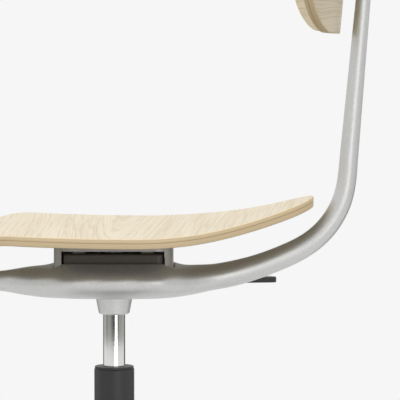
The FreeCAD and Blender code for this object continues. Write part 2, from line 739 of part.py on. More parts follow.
# Spine: one casting that carries the column's cup, the saddle tray and the upright
def spine_oval(name, y, z, slope, depth, swell):
    oval = doc.addObject("Part::Ellipse", name)
    bind(oval, "MajorRadius", depth + swell)
    bind(oval, "MinorRadius", depth)
    return place(oval, 0, y, z, (1, 0, 0), slope - 90)


def between(low, high, share):
    return low * (1 - share) + high * share


level = as_size(0)
front_neck = between(d.shoulder_reach, d.nose_reach, 0.5)
saddle_end = d.saddle_reach + d.saddle_ease
half_reach = d.saddle_reach / 2
ease_depth = between(d.saddle_depth, d.shoulder_depth, 0.6)
ease_swell = between(d.saddle_swell, d.shoulder_swell, 0.42)
side_depth = between(d.saddle_depth, d.shoulder_depth, 0.25)
half_depth = between(d.saddle_depth, d.shoulder_depth, 0.07)
saddle_row = (
    (-d.nose_reach, d.nose_depth, d.tube_swell * 2),
    (-front_neck, d.neck_depth, d.neck_swell),
    (-d.shoulder_reach, d.shoulder_depth, d.shoulder_swell),
    (-saddle_end, ease_depth, ease_swell),
    (-d.saddle_reach, side_depth, d.saddle_swell - 1),
    (-half_reach, half_depth, d.saddle_swell),
    (level, d.saddle_depth, d.saddle_swell),
    (half_reach, half_depth, d.saddle_swell),
    (d.saddle_reach, side_depth, d.saddle_swell - 1),
    (saddle_end, ease_depth, ease_swell),
)
spine_ovals = [
    spine_oval(f"spine_saddle_{index}", y, spine_z, level, depth, swell)
    for index, (y, depth, swell) in enumerate(saddle_row)
]


def rise_point(share):
    """A point of the slow rise and its slope."""
    slope = d.rise_angle * share
    return d.bend_start + d.rise_radius * sine(slope), spine_z + d.rise_radius * (1 - cosine(slope)), slope


def bend_point(share):
    """A point of the tight bend and its slope."""
    y, z, start = rise_point(1.0)
    slope = between(d.rise_angle, d.upright_angle, share)
    y = y + d.bend_radius * (sine(slope) - sine(start))
    z = z + d.bend_radius * (cosine(start) - cosine(slope))
    return y, z, slope


def upright_point(share):
    """A point of the straight upright."""
    y, z, slope = bend_point(1.0)
    reach = d.upright_length * share
    return y + reach * cosine(slope), z + reach * sine(slope), slope


tail = [
    (rise_point(0.18), d.shoulder_depth, d.shoulder_swell),
    (rise_point(0.34), d.neck_depth, d.neck_swell),
    (rise_point(0.5), between(d.neck_depth, d.tail_depth, 0.55), between(d.neck_swell, d.tube_swell, 0.5)),
    (rise_point(0.67), d.tail_depth, between(d.neck_swell, d.tube_swell, 0.75)),
    (rise_point(0.84), between(d.tail_depth, d.bend_depth, 0.5), between(d.neck_swell, d.tube_swell, 0.9)),
    (rise_point(1.0), d.bend_depth, d.tube_swell),
]
for step in range(1, BEND_STEPS + 1):
    share = step / BEND_STEPS
    tail.append((bend_point(share), between(d.bend_depth, d.upright_depth, share), d.tube_swell))
for step in range(1, UPRIGHT_STEPS + 1):
    share = step / UPRIGHT_STEPS
    tail.append((upright_point(share), between(d.upright_depth, d.top_depth, share), d.tube_swell))
for index, ((y, z, slope), depth, swell) in enumerate(tail):
    spine_ovals.append(spine_oval(f"spine_tail_{index}", y, z, slope, depth, swell))

nose = doc.addObject("Part::Ellipsoid", "spine_nose_cap")
bind(nose, "Radius1", d.nose_depth)
bind(nose, "Radius2", d.nose_depth + d.tube_swell * 2)
bind(nose, "Radius3", d.nose_length)
place(nose, 0, d.nose_tuck - d.nose_reach, spine_z)

cup_start = d.cup_low_radius - d.cup_round
cup = turned(
    "spine_cup",
    [
        (0, cup_bottom), (cup_start, cup_bottom), (d.cup_low_radius, cup_bottom + d.cup_round),
        (d.cup_top_radius, spine_z), (0, spine_z),
    ],
    {1: d.cup_round},
)
tray_half_length = d.carrier_half_length + d.carrier_end_gap
tray_half_width = d.carrier_half_width + d.carrier_side_gap
rim_half_length = tray_half_length + d.rim_wall
rim_half_width = tray_half_width + d.rim_wall
rim_corner = d.rim_corner + d.rim_wall


def saddle_section(index, drop, spread, shrink):
    """One level of the rounded saddle, drop below its rim."""
    return rounded_rectangle(
        loose_sketch(f"saddle_level_{index}", rim_top - drop),
        rim_half_width + d.belly_wide * spread - d.foot_narrow * shrink,
        rim_half_length + d.belly_long * spread - d.foot_short * shrink,
        rim_corner + d.belly_round * spread - d.foot_round * shrink,
    )


# The saddle's flank swells from the rim to its widest line and draws in again toward its foot
saddle_levels = [
    saddle_section(index, d.belly_drop * (index / FLANK_STEPS), 1 - (1 - index / FLANK_STEPS) ** 2, 0)
    for index in range(FLANK_STEPS + 1)
]
for step in range(1, FOOT_STEPS + 1):
    share = step / FOOT_STEPS
    saddle_levels.append(
        saddle_section(FLANK_STEPS + step, d.belly_drop + d.foot_drop * share, 1, share ** 2)
    )
saddle_body = loft("saddle_body", saddle_levels)
top_y, top_z, top_slope = upright_point(1.0)
barrel = cylinder("spine_barrel", d.barrel_radius, d.barrel_half * 2, -d.barrel_half, top_y, top_z, "X")

# The lever leaves the saddle through a pocket that opens into the tray
lever_edge = d.lever_pivot - d.button_radius
half_lever = d.lever_thickness / 2 / cosine(d.lever_slope)
pivot_z = button_top + d.lever_play + half_lever - lever_edge * sine(d.lever_slope)
pivot_x = -d.lever_pivot * sine(d.lever_swing)
pivot_y = d.lever_pivot * cosine(d.lever_swing)
pocket = doc.addObject("Part::Box", "lever_pocket")
bind(pocket, "Length", d.pocket_width)
bind(pocket, "Width", d.pocket_back + d.pocket_reach)
bind(pocket, "Height", tray_floor - pivot_z + d.pocket_drop)
half_pocket = d.pocket_width / 2
place(
    pocket,
    d.pocket_back * sine(d.lever_swing) - half_pocket * cosine(d.lever_swing),
    -d.pocket_back * cosine(d.lever_swing) - half_pocket * sine(d.lever_swing),
    pivot_z - d.pocket_drop,
    (0, 0, 1),
    d.lever_swing,
)


def pin_at_lever(name, radius, half):
    """A rod across the lever through its pivot."""
    item = doc.addObject("Part::Cylinder", name)
    bind(item, "Radius", radius)
    bind(item, "Height", half * 2)
    across = FreeCAD.Rotation(FreeCAD.Vector(0, 1, 0), 90)
    item.Placement = FreeCAD.Placement(
        FreeCAD.Vector(0, 0, 0), FreeCAD.Rotation(FreeCAD.Vector(0, 0, 1), d.lever_swing.value) * across
    )
    reach_x, reach_y = half * cosine(d.lever_swing), half * sine(d.lever_swing)
    return place(item, pivot_x - reach_x, pivot_y - reach_y, pivot_z)


pin_half = half_pocket + d.pin_grip
axle_half_length = d.block_half_width - d.tilt_axle_cover
block_screw_places = (
    (d.block_screw_x, -d.block_screw_y),
    (-d.block_screw_x, -d.block_screw_y),
    (d.block_screw_x, d.block_screw_y),
    (-d.side_screw_x, -d.side_screw_y),
)
block_floor_top = tray_floor + d.block_floor
screw_hole_low = tray_floor - d.block_screw_depth - d.end_clearance
spine_bores = [
    prism("saddle_tray", tray_half_width, tray_half_length, d.rim_corner, tray_floor, rim_top + 5),
    cone(
        "column_bore", d.pressure_radius + d.seat_clearance, grip_high + d.seat_clearance,
        d.grip_length, cup_bottom,
    ),
    cylinder("button_room", d.button_radius * 2, tray_floor - pressure_top, 0, 0, pressure_top),
    pocket,
    pin_at_lever("lever_pin_bore", d.pin_radius + d.seat_clearance, pin_half + d.end_clearance),
    cylinder(
        "barrel_bore", d.back_pin_radius + d.back_bush_wall + d.seat_clearance, d.barrel_half * 2 + 10,
        -d.barrel_half - 5, top_y, top_z, "X",
    ),
]
for index, (x, y) in enumerate(block_screw_places):
    spine_bores.append(
        cylinder(
            f"spine_screw_hole_{index}", d.block_screw_radius + d.seat_clearance,
            tray_floor - screw_hole_low, x, y, screw_hole_low,
        )
    )
spine_blank = fuse("spine_blank", [loft("spine_tube", spine_ovals), nose, cup, saddle_body, barrel])
node(cut("spine", spine_blank, spine_bores), "spine")
node(pin_at_lever("lever_pin", d.pin_radius, pin_half), "lever_pin")

# Tilt block: a ribbed tub bolted into the tray, with rubber buffers on its side walls
tilt_z = tray_floor + d.tilt_axle_rise
block_body = new_body("tilt_block_body")
block_plan = rounded_rectangle(
    body_sketch(block_body, "XY_Plane", "block_plan"), d.block_half_width, d.block_half_length, d.block_corner
)
bind(block_plan, "AttachmentOffset.Base.z", tray_floor)
block_pad = block_body.newObject("PartDesign::Pad", "block_pad")
block_pad.Profile = block_plan
bind(block_pad, "Length", d.block_height)
doc.recompute()
top_edges = [
    f"Edge{index}"
    for index, edge in enumerate(block_pad.Shape.Edges, start=1)
    if abs(edge.BoundBox.ZMin - block_pad.Shape.BoundBox.ZMax) < 1e-6
]
block_fillet = block_body.newObject("PartDesign::Fillet", "block_fillet")
block_fillet.Base = (block_pad, top_edges)
bind(block_fillet, "Radius", d.block_round)
inner_width = d.block_half_width - d.block_wall
inner_length = d.block_half_length - d.block_wall
rib_far = d.well_half + d.block_rib
tub_limits = ((-inner_length, -rib_far), (-d.well_half, d.well_half), (rib_far, inner_length))
block_tools = [
    box(f"block_tub_{index}", (-inner_width, inner_width), limits, (block_floor_top, block_top + 5))
    for index, limits in enumerate(tub_limits)
]
axle_room = axle_half_length + d.end_clearance
block_tools.append(
    cylinder(
        "block_axle_bore", d.tilt_axle_radius + d.seat_clearance, axle_room * 2, -axle_room, 0, tilt_z, "X"
    )
)
screws = []
for index, (x, y) in enumerate(block_screw_places):
    block_tools.append(
        cylinder(f"block_screw_hole_{index}", d.block_screw_radius + d.seat_clearance, d.block_floor + 10,
                 x, y, tray_floor - 5)
    )
    shank_low, head_top = tray_floor - d.block_screw_depth, block_floor_top + d.block_screw_height
    screws.append(
        turned(
            f"block_screw_{index}",
            [
                (0, shank_low), (d.block_screw_radius, shank_low), (d.block_screw_radius, block_floor_top),
                (d.block_screw_head, block_floor_top), (d.block_screw_head, head_top), (0, head_top),
            ],
        )
    )
    place(screws[-1], x, y, 0)
node(cut("tilt_block", block_body, block_tools), "tilt_block")
node(group("block_screws", screws), "block_screws")
node(
    cylinder("tilt_axle", d.tilt_axle_radius, axle_half_length * 2, -axle_half_length, 0, tilt_z, "X"),
    "tilt_axle",
)
buffer_inner = d.carrier_half_width - d.carrier_side
buffer_low, buffer_high = block_top, skirt_bottom
for name, y in (("buffer_front", -d.buffer_reach), ("buffer_rear", d.buffer_reach)):
    limits_y = (y - d.buffer_length / 2, y + d.buffer_length / 2)
    outer = buffer_inner - d.block_round * 0.5 + d.buffer_width * 0.5
    pads = [
        box(name + "_left", (outer - d.buffer_width / 2, outer + d.buffer_width / 2), limits_y,
            (buffer_low, buffer_high)),
        box(name + "_right", (-outer - d.buffer_width / 2, -outer + d.buffer_width / 2), limits_y,
            (buffer_low, buffer_high)),
    ]
    node(group(name, pads), name)

# Seat carrier: a plate with walls that hang into the tray and two lugs on the tilt axle
plate = prism(
    "carrier_plate_blank", d.carrier_wing, d.carrier_half_length, d.carrier_corner, plate_low, carrier_top
)
leg_low = tray_floor + d.carrier_foot_gap
window_half = d.carrier_half_length - d.carrier_end
side_inner = d.carrier_half_width - d.carrier_side
side_outer = d.carrier_half_width + d.carrier_side
window = (-window_half, window_half)
skirt = prism(
    "carrier_skirt", d.carrier_half_width, d.carrier_half_length, d.skirt_corner, leg_low, plate_low
)
skirt_rooms = [
    box("carrier_skirt_room", (-side_inner, side_inner), window, (leg_low - 5, plate_low)),
    box("carrier_side_window", (-side_outer, side_outer), window, (leg_low - 5, skirt_bottom)),
]
carrier_pieces = [plate, cut("carrier_skirt_frame", skirt, skirt_rooms)]
lug_far = d.lug_inner + d.lug_thickness
for name, limits in (("left", (d.lug_inner, lug_far)), ("right", (-lug_far, -d.lug_inner))):
    carrier_pieces.append(
        box(f"carrier_lug_{name}", limits, (-d.lug_half, d.lug_half), (tilt_z - d.lug_drop, plate_low))
    )
seat_screw_places = [(sx * d.seat_screw_x, sy * d.seat_screw_y) for sx in (1, -1) for sy in (1, -1)]
lug_bore = d.tilt_axle_radius + d.run_clearance
carrier_tools = [cylinder("carrier_axle_bore", lug_bore, lug_far * 2 + 4, -lug_far - 2, 0, tilt_z, "X")]
for index, (x, y) in enumerate(seat_screw_places):
    carrier_tools.append(
        cylinder(f"carrier_screw_hole_{index}", d.screw_radius + d.seat_clearance, d.carrier_plate + 10,
                 x, y, plate_low - 5)
    )
node(cut("seat_carrier", fuse("carrier_blank", carrier_pieces), carrier_tools), "seat_carrier")

# Seat: one sheet of bent plywood, cut to its outline
fall_start_y = d.seat_low - d.seat_front_reach
front_sine = d.seat_front_reach / d.seat_front_radius
front_cosine = root(1 - front_sine * front_sine)
fall_start_z = seat_top + d.seat_front_radius * (1 - front_cosine)
fall_y = fall_start_y - d.seat_fall_radius * front_sine
fall_z = fall_start_z - d.seat_fall_radius * front_cosine
fall_sine, fall_cosine = sine(d.seat_fall_angle), cosine(d.seat_fall_angle)
fall_inner = d.seat_fall_radius - d.seat_ply
front_outer = d.seat_front_radius + d.seat_ply
rear_outer = d.seat_rear_radius + d.seat_ply
rear_centre_z = seat_top + d.seat_rear_radius
flank_x = d.seat_half_width - d.seat_shoulder_radius * (1 - cosine(d.seat_flank))
flank_y = d.seat_shoulder + d.seat_shoulder_radius * sine(d.seat_flank)
tip_x = d.seat_tip_radius * cosine(d.seat_flank)
tip_y = flank_y + (flank_x - tip_x) * cosine(d.seat_flank) / sine(d.seat_flank)
tip_end = tip_y + d.seat_tip_radius * (1 - sine(d.seat_flank))
sheet_end = tip_end + d.seat_margin
sheet_run = sheet_end - d.seat_low
front_end = fall_y - d.seat_fall_radius * fall_sine

seat_body = new_body("seat_shell_body")
seat_profile = draw(
    body_sketch(seat_body, "YZ_Plane", "seat_profile"),
    [
        (sheet_end, rear_centre_z - root(d.seat_rear_radius * d.seat_rear_radius - sheet_run * sheet_run)),
        (d.seat_low, seat_top),
        (fall_start_y, fall_start_z),
        (front_end, fall_z + d.seat_fall_radius * fall_cosine),
        (fall_y - fall_inner * fall_sine, fall_z + fall_inner * fall_cosine),
        (fall_y + fall_inner * front_sine, fall_z + fall_inner * front_cosine),
        (d.seat_low, seat_under),
        (sheet_end, rear_centre_z - root(rear_outer * rear_outer - sheet_run * sheet_run)),
    ],
    {
        0: -d.seat_rear_radius, 1: -d.seat_front_radius, 2: d.seat_fall_radius,
        4: -fall_inner, 5: front_outer, 6: rear_outer,
    },
)
seat_pad = seat_body.newObject("PartDesign::Pad", "seat_pad")
seat_pad.Profile = seat_profile
seat_pad.SideType = "Symmetric"
bind(seat_pad, "Length", (d.seat_half_width + d.seat_margin) * 2)
outline_front = front_end - d.seat_margin
corner_x = d.seat_half_width - d.seat_corner
corner_y = outline_front + d.seat_corner
blank = loose_sketch("seat_outline", seat_top - d.seat_cut)
draw(
    blank,
    [
        (-corner_x, outline_front), (corner_x, outline_front), (d.seat_half_width, corner_y),
        (d.seat_half_width, d.seat_shoulder), (flank_x, flank_y), (tip_x, tip_y), (-tip_x, tip_y),
        (-flank_x, flank_y), (-d.seat_half_width, d.seat_shoulder), (-d.seat_half_width, corner_y),
    ],
    {
        1: d.seat_corner, 3: d.seat_shoulder_radius, 5: d.seat_tip_radius,
        7: d.seat_shoulder_radius, 9: d.seat_corner,
    },
)
seat_cutter = doc.addObject("Part::Extrusion", "seat_cutter")
seat_cutter.Base = blank
seat_cutter.DirMode = "Custom"
seat_cutter.Dir = FreeCAD.Vector(0, 0, 1)
seat_cutter.Solid = True
bind(seat_cutter, "LengthFwd", d.seat_cut * 2)
seat_blank = doc.addObject("Part::Common", "seat_blank")
seat_blank.Base = seat_body
seat_blank.Tool = seat_cutter

insert_top = seat_under + d.insert_depth
seat_holes, seat_screws, seat_inserts, seat_spacers = [], [], [], []
for index, (x, y) in enumerate(seat_screw_places):
    insert_room = d.insert_radius + d.seat_clearance
    seat_holes.append(cylinder(f"seat_hole_{index}", insert_room, d.insert_depth + 5, x, y, seat_under - 5))
    screw_low = plate_low - d.screw_height
    screw_high = insert_top - d.end_clearance
    seat_screws.append(
        turned(
            f"seat_screw_{index}",
            [
                (0, screw_low), (d.screw_head, screw_low), (d.screw_head, plate_low),
                (d.screw_radius, plate_low), (d.screw_radius, screw_high), (0, screw_high),
            ],
        )
    )
    place(seat_screws[-1], x, y, 0)
    insert_bore = d.screw_radius + d.seat_clearance
    insert = ring(f"seat_insert_{index}", insert_bore, d.insert_radius, seat_under, insert_top)
    seat_inserts.append(place(insert, x, y, 0))
    spacer = ring(
        f"seat_spacer_blank_{index}", d.insert_radius + d.seat_clearance, d.pad_radius, carrier_top,
        seat_under + d.seat_ply / 2,
    )
    place(spacer, x, y, 0)
    trimmed = cut(f"seat_spacer_{index}", spacer, [seat_blank])
    seat_spacers.append(trimmed)
node(cut("seat_shell", seat_blank, seat_holes), "seat_shell")
node(group("seat_screws", seat_screws), "seat_screws")
node(group("seat_inserts", seat_inserts), "seat_inserts")
node(group("seat_pads", seat_spacers), "seat_pads")

# Height lever: a flat bar on a cross pin, with a flat grip
lever_end = d.lever_reach - d.lever_pivot
bar_end = lever_end - d.grip_reach + d.grip_hold
grip_start = lever_end - d.grip_reach
half_bar = d.lever_thickness / 2
bar = box(
    "lever_bar_flat",
    (-d.lever_width / 2, d.lever_width / 2),
    (-d.lever_pivot - d.lever_heel, bar_end),
    (-half_bar, half_bar),
)
eye = cylinder("lever_bar_eye", d.lever_boss, d.lever_width, -d.lever_width / 2, 0, 0, "X")
eye_bore = cylinder(
    "lever_bar_bore", d.pin_radius + d.run_clearance, d.lever_width + 10, -d.lever_width / 2 - 5, 0, 0, "X"
)
lever_bar = cut("lever_bar", fuse("lever_bar_blank", [bar, eye]), [eye_bore])
grip_block = doc.addObject("Part::Extrusion", "lever_grip_blank")
grip_plan = doc.addObject("Sketcher::SketchObject", "lever_grip_plan")
half_grip = d.grip_width / 2
place(grip_plan, 0, 0, -d.grip_thickness / 2)
draw(
    grip_plan,
    [
        (-d.lever_width / 2 - 2, grip_start), (d.lever_width / 2 + 2, grip_start),
        (half_grip, lever_end - half_grip), (0, lever_end), (-half_grip, lever_end - half_grip),
    ],
    {2: half_grip, 3: half_grip},
)
grip_block.Base = grip_plan
grip_block.DirMode = "Custom"
grip_block.Dir = FreeCAD.Vector(0, 0, 1)
grip_block.Solid = True
bind(grip_block, "LengthFwd", d.grip_thickness)
grip_slot = box(
    "lever_grip_slot",
    (-d.lever_width / 2 - d.seat_clearance, d.lever_width / 2 + d.seat_clearance),
    (grip_start - 5, bar_end + d.end_clearance),
    (-half_bar - d.seat_clearance, half_bar + d.seat_clearance),
)
lever_grip = cut("lever_grip", grip_block, [grip_slot])
for item, name in ((lever_bar, "lever_bar"), (lever_grip, "lever_grip")):
    swing = FreeCAD.Rotation(FreeCAD.Vector(0, 0, 1), d.lever_swing.value)
    drop = FreeCAD.Rotation(FreeCAD.Vector(1, 0, 0), -d.lever_slope.value)
    item.Placement = FreeCAD.Placement(FreeCAD.Vector(0, 0, 0), swing * drop)
    node(place(item, pivot_x, pivot_y, pivot_z), name)

# Backrest: a bent plywood shell on a plate that pivots on the upright's barrel
lean = 90 - d.upright_angle


def on_upright(item):
    """Stand an object built round the back's pivot on top of the upright."""
    return place(item, 0, top_y, top_z, (1, 0, 0), -lean)


ear_inner = d.barrel_half + d.ear_gap
ear_outer = ear_inner + d.ear_thickness
plate_rear = -d.plate_front + d.plate_thickness
node(
    on_upright(
        cut(
            "back_bush",
            cylinder("back_bush_blank", d.back_pin_radius + d.back_bush_wall, d.barrel_half * 2,
                     -d.barrel_half, 0, 0, "X"),
            [cylinder("back_bush_bore", d.back_pin_radius + d.run_clearance, d.barrel_half * 2 + 10,
                      -d.barrel_half - 5, 0, 0, "X")],
        )
    ),
    "back_bush",
)
pin_reach = ear_outer + d.back_pin_head
node(
    cylinder("back_pin", d.back_pin_radius, pin_reach * 2, -pin_reach, top_y, top_z, "X"), "back_pin"
)

plate_body = new_body("back_plate_body")
plate_outline = rounded_rectangle(
    body_sketch(plate_body, "XZ_Plane", "back_plate_outline"),
    d.plate_half_width, d.plate_half_height, d.plate_corner,
)
bind(plate_outline, "AttachmentOffset.Base.z", -plate_rear)
plate_pad = plate_body.newObject("PartDesign::Pad", "back_plate_pad")
plate_pad.Profile = plate_outline
bind(plate_pad, "Length", d.plate_thickness)
ears = []
for name, low in (("left", ear_inner), ("right", -ear_outer)):
    limits = (low, low + d.ear_thickness)
    ears.append(box(f"back_ear_{name}", limits, (plate_rear, 0), (-d.ear_radius, d.ear_radius)))
    ears.append(cylinder(f"back_ear_{name}_eye", d.ear_radius, d.ear_thickness, low, 0, 0, "X"))
ear_bore = d.back_pin_radius + d.seat_clearance
plate_tools = [cylinder("back_ear_bore", ear_bore, pin_reach * 2 + 10, -pin_reach - 5, 0, 0, "X")]

shell_rear = -d.plate_front - d.pad_thickness
shell_centre = shell_rear - d.back_radius
shell_inner = d.back_radius - d.back_ply
edge_x = d.back_half_width + d.seat_margin
edge_rear = shell_centre + root(d.back_radius * d.back_radius - edge_x * edge_x)
edge_front = shell_centre + root(shell_inner * shell_inner - edge_x * edge_x)
back_body = new_body("back_shell_body")
back_section = draw(
    body_sketch(back_body, "XY_Plane", "back_section"),
    [(edge_x, edge_front), (edge_x, edge_rear), (-edge_x, edge_rear), (-edge_x, edge_front)],
    {1: d.back_radius, 3: -shell_inner},
)
bind(back_section, "AttachmentOffset.Base.z", -d.back_below - d.seat_margin)
back_pad = back_body.newObject("PartDesign::Pad", "back_pad")
back_pad.Profile = back_section
bind(back_pad, "Length", d.back_below + d.back_above + d.seat_margin * 2)
back_middle = (d.back_above - d.back_below) / 2
outline_body = new_body("back_outline_body")
back_outline = rounded_rectangle(
    body_sketch(outline_body, "XZ_Plane", "back_outline"),
    d.back_half_width, (d.back_above + d.back_below) / 2, d.back_corner,
)
bind(back_outline, "AttachmentOffset.Base.y", back_middle)
bind(back_outline, "AttachmentOffset.Base.z", -d.plate_front)
outline_pad = outline_body.newObject("PartDesign::Pad", "back_outline_pad")
outline_pad.Profile = back_outline
bind(outline_pad, "Length", d.back_radius)
back_blank = doc.addObject("Part::Common", "back_blank")
back_blank.Base = back_body
back_blank.Tool = outline_body

back_screw_places = [(sx * d.back_screw_x, sz * d.back_screw_z) for sx in (1, -1) for sz in (1, -1)]
bend_at_screw = d.back_radius - root(d.back_radius * d.back_radius - d.back_screw_x * d.back_screw_x)
insert_rear = shell_rear - bend_at_screw
insert_front = insert_rear - d.back_insert_depth
back_holes, back_screws, back_inserts, back_spacers = [], [], [], []
for index, (x, z) in enumerate(back_screw_places):
    back_holes.append(
        cylinder(f"back_hole_{index}", d.insert_radius + d.seat_clearance, d.back_insert_depth + 5,
                 x, insert_front, z, "Y")
    )
    plate_tools.append(
        cylinder(f"back_plate_hole_{index}", d.screw_radius + d.seat_clearance, d.plate_thickness + 10,
                 x, -d.plate_front - 5, z, "Y")
    )
    shank_front = insert_front + d.end_clearance
    shank_length = plate_rear - shank_front
    shank = cylinder(f"back_screw_shank_{index}", d.screw_radius, shank_length, x, shank_front, z, "Y")
    head = cylinder(f"back_screw_head_{index}", d.screw_head, d.screw_height, x, plate_rear, z, "Y")
    back_screws.append(fuse(f"back_screw_{index}", [shank, head]))
    insert = cylinder(
        f"back_insert_blank_{index}", d.insert_radius, d.back_insert_depth, x, insert_front, z, "Y"
    )
    bore = cylinder(f"back_insert_bore_{index}", d.screw_radius + d.seat_clearance, d.back_insert_depth + 10,
                    x, insert_front - 5, z, "Y")
    back_inserts.append(cut(f"back_insert_{index}", insert, [bore]))
    spacer_length = -insert_front - d.plate_front
    spacer = cylinder(f"back_spacer_blank_{index}", d.pad_radius, spacer_length, x, insert_front, z, "Y")
    spacer_bore = cylinder(f"back_spacer_bore_{index}", d.insert_radius + d.seat_clearance, d.back_ply + 20,
                           x, insert_front - 5, z, "Y")
    back_spacers.append(cut(f"back_spacer_{index}", spacer, [back_blank, spacer_bore]))
back_carrier = cut("back_carrier", fuse("back_carrier_blank", [plate_body] + ears), plate_tools)
node(on_upright(back_carrier), "back_carrier")
node(on_upright(cut("back_shell", back_blank, back_holes)), "back_shell")
node(on_upright(group("back_screws", back_screws)), "back_screws")
node(on_upright(group("back_inserts", back_inserts)), "back_inserts")
node(on_upright(group("back_pads", back_spacers)), "back_pads")

doc.recompute()
faults = [item.Name for item in doc.Objects if "Invalid" in item.State or "Error" in item.State]
for item in nodes:
    if item.Shape.isNull() or not item.Shape.isValid() or not item.Shape.Solids:
        faults.append(item.Label)
if faults:
    raise RuntimeError("these objects failed: " + ", ".join(faults))

os.makedirs("parts", exist_ok=True)
for item in nodes:
    item.Shape.exportStep(os.path.join("parts", item.Label + ".step"))
    print(f"{item.Label}: {len(item.Shape.Solids)} solids, {item.Shape.Volume / 1000:.2f} cm3")
print(f"seat top {seat_top.value:.1f}, lever pin {pivot_x.value:.2f} {pivot_y.value:.2f} {pivot_z.value:.2f}")
print(f"tilt axle z {tilt_z.value:.2f}, back pivot {top_y.value:.2f} {top_z.value:.2f}")
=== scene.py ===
# %% [markdown]
# This lesson dresses a swivel chair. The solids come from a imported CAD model, which gives every piece its
# place and its motion. Blender adds what the solids lack: veneer figure, glue lines, soft casting edges,
# paint, chrome and light. The first cell loads the model as a fixed frame, so nothing has to be fitted by
# eye.

# %% Load the chair's frame
import json
from math import asin, cos, pi, radians, sin, sqrt

import bmesh
import bpy
from mathutils import Matrix, Vector


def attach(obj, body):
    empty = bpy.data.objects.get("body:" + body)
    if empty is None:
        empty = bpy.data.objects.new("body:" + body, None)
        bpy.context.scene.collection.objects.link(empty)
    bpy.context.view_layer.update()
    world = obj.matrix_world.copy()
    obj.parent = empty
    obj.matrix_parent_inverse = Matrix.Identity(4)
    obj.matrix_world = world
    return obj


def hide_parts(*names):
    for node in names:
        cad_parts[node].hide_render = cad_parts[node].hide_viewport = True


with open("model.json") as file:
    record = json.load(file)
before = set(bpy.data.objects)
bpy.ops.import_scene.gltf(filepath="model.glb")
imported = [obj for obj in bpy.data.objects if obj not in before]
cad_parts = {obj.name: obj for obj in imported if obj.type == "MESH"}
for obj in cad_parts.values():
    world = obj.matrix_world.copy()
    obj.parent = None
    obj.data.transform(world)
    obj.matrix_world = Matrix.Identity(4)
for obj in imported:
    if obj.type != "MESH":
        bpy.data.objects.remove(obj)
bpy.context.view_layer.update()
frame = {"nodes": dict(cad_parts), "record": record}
slot_of = {part["node"]: part["material_slot"] for part in frame["record"]["subparts"]}
MM = 0.001

# %% [markdown]
# The photograph is a long-lens side view from slightly above, with the front of the seat to the left. A
# long lens far away keeps the near and the far rim of the seat almost parallel. The camera looks at a point
# between the column and the upright, and its frame is as wide as the photograph's scale says.

# %% Camera
VIEW_TARGET = Vector((0.0, 0.107, 0.5034))
VIEW_DISTANCE = 4.0
VIEW_PITCH = radians(3.65)
VIEW_WIDTH = 0.4978
SENSOR_MM = 36.0

lens_data = bpy.data.cameras.new("side_view")
lens_data.sensor_width = SENSOR_MM
lens_data.lens = SENSOR_MM * VIEW_DISTANCE / VIEW_WIDTH
camera = bpy.data.objects.new("side_view", lens_data)
bpy.context.scene.collection.objects.link(camera)
away = Vector((cos(VIEW_PITCH), 0.0, sin(VIEW_PITCH)))
camera.location = VIEW_TARGET + away * VIEW_DISTANCE
camera.rotation_euler = (-away).to_track_quat("-Z", "Y").to_euler()
bpy.context.scene.camera = camera
print("lens", round(lens_data.lens, 1), "mm")

# %% [markdown]
# Materials are node trees. A few small helpers keep them readable: one adds a node with its values, one
# makes a sum or product of two sockets, and two more mix colours.

# %% Helpers for nodes
def add_node(tree, kind, values=None, **settings):
    """Adds a node, sets its properties, and fills or links its inputs."""
    made = tree.nodes.new("ShaderNode" + kind)
    for key, value in settings.items():
        setattr(made, key, value)
    for key, value in (values or {}).items():
        if isinstance(value, bpy.types.NodeSocket):
            tree.links.new(value, made.inputs[key])
        else:
            made.inputs[key].default_value = value
    return made


def sums(tree, operation, first, second=0.0, third=0.0):
    """One step of arithmetic between sockets or numbers."""
    return add_node(tree, "Math", {0: first, 1: second, 2: third}, operation=operation).outputs[0]


def ramp(tree, factor, stops):
    """A colour ramp from a list of (place, grey or colour)."""
    made = add_node(tree, "ValToRGB", {"Fac": factor})
    ready = list(made.color_ramp.elements)
    for index, (place, tone) in enumerate(stops):
        stop = ready[index] if index < len(ready) else made.color_ramp.elements.new(place)
        stop.position = place
        stop.color = (tone, tone, tone, 1.0) if isinstance(tone, float) else (*tone, 1.0)
    return made.outputs["Color"]


MIX_FACTOR, MIX_FIRST, MIX_SECOND, MIX_RESULT = 0, 6, 7, 2


def mixed(tree, factor, first, second, blend="MIX"):
    """A mix of two colours."""
    made = tree.nodes.new("ShaderNodeMix")
    made.data_type, made.blend_type = "RGBA", blend
    for index, value in ((MIX_FACTOR, factor), (MIX_FIRST, first), (MIX_SECOND, second)):
        if isinstance(value, bpy.types.NodeSocket):
            tree.links.new(value, made.inputs[index])
        else:
            made.inputs[index].default_value = value if index == MIX_FACTOR else (*value[:3], 1.0)
    return made.outputs[MIX_RESULT]


print("node helpers ready")

# %% [markdown]
# Every pattern on the chair is noise that is stretched along some direction, and every fine relief is a
# bump. The coordinates are the chair's own, in metres, so a scale is simply a number of waves per metre.

# %% Helpers for patterns
def object_place(tree):
    """Coordinates in metres in the chair's own frame."""
    return add_node(tree, "TexCoord").outputs["Object"]


def stretched(tree, place, scale):
    """Coordinates scaled by a different amount on each axis, in waves per metre."""
    return add_node(tree, "Mapping", {"Vector": place, "Scale": scale}).outputs["Vector"]


def noise(tree, place, scale=1.0, detail=3.0, roughness=0.5):
    """Soft noise between 0 and 1."""
    values = {"Vector": place, "Scale": scale, "Detail": detail, "Roughness": roughness}
    return add_node(tree, "TexNoise", values).outputs["Fac"]


NOISE_MIDDLE = 0.5


def swing(tree, value):
    """Noise moved down by its middle, so that it swings round zero."""
    return sums(tree, "SUBTRACT", value, NOISE_MIDDLE)


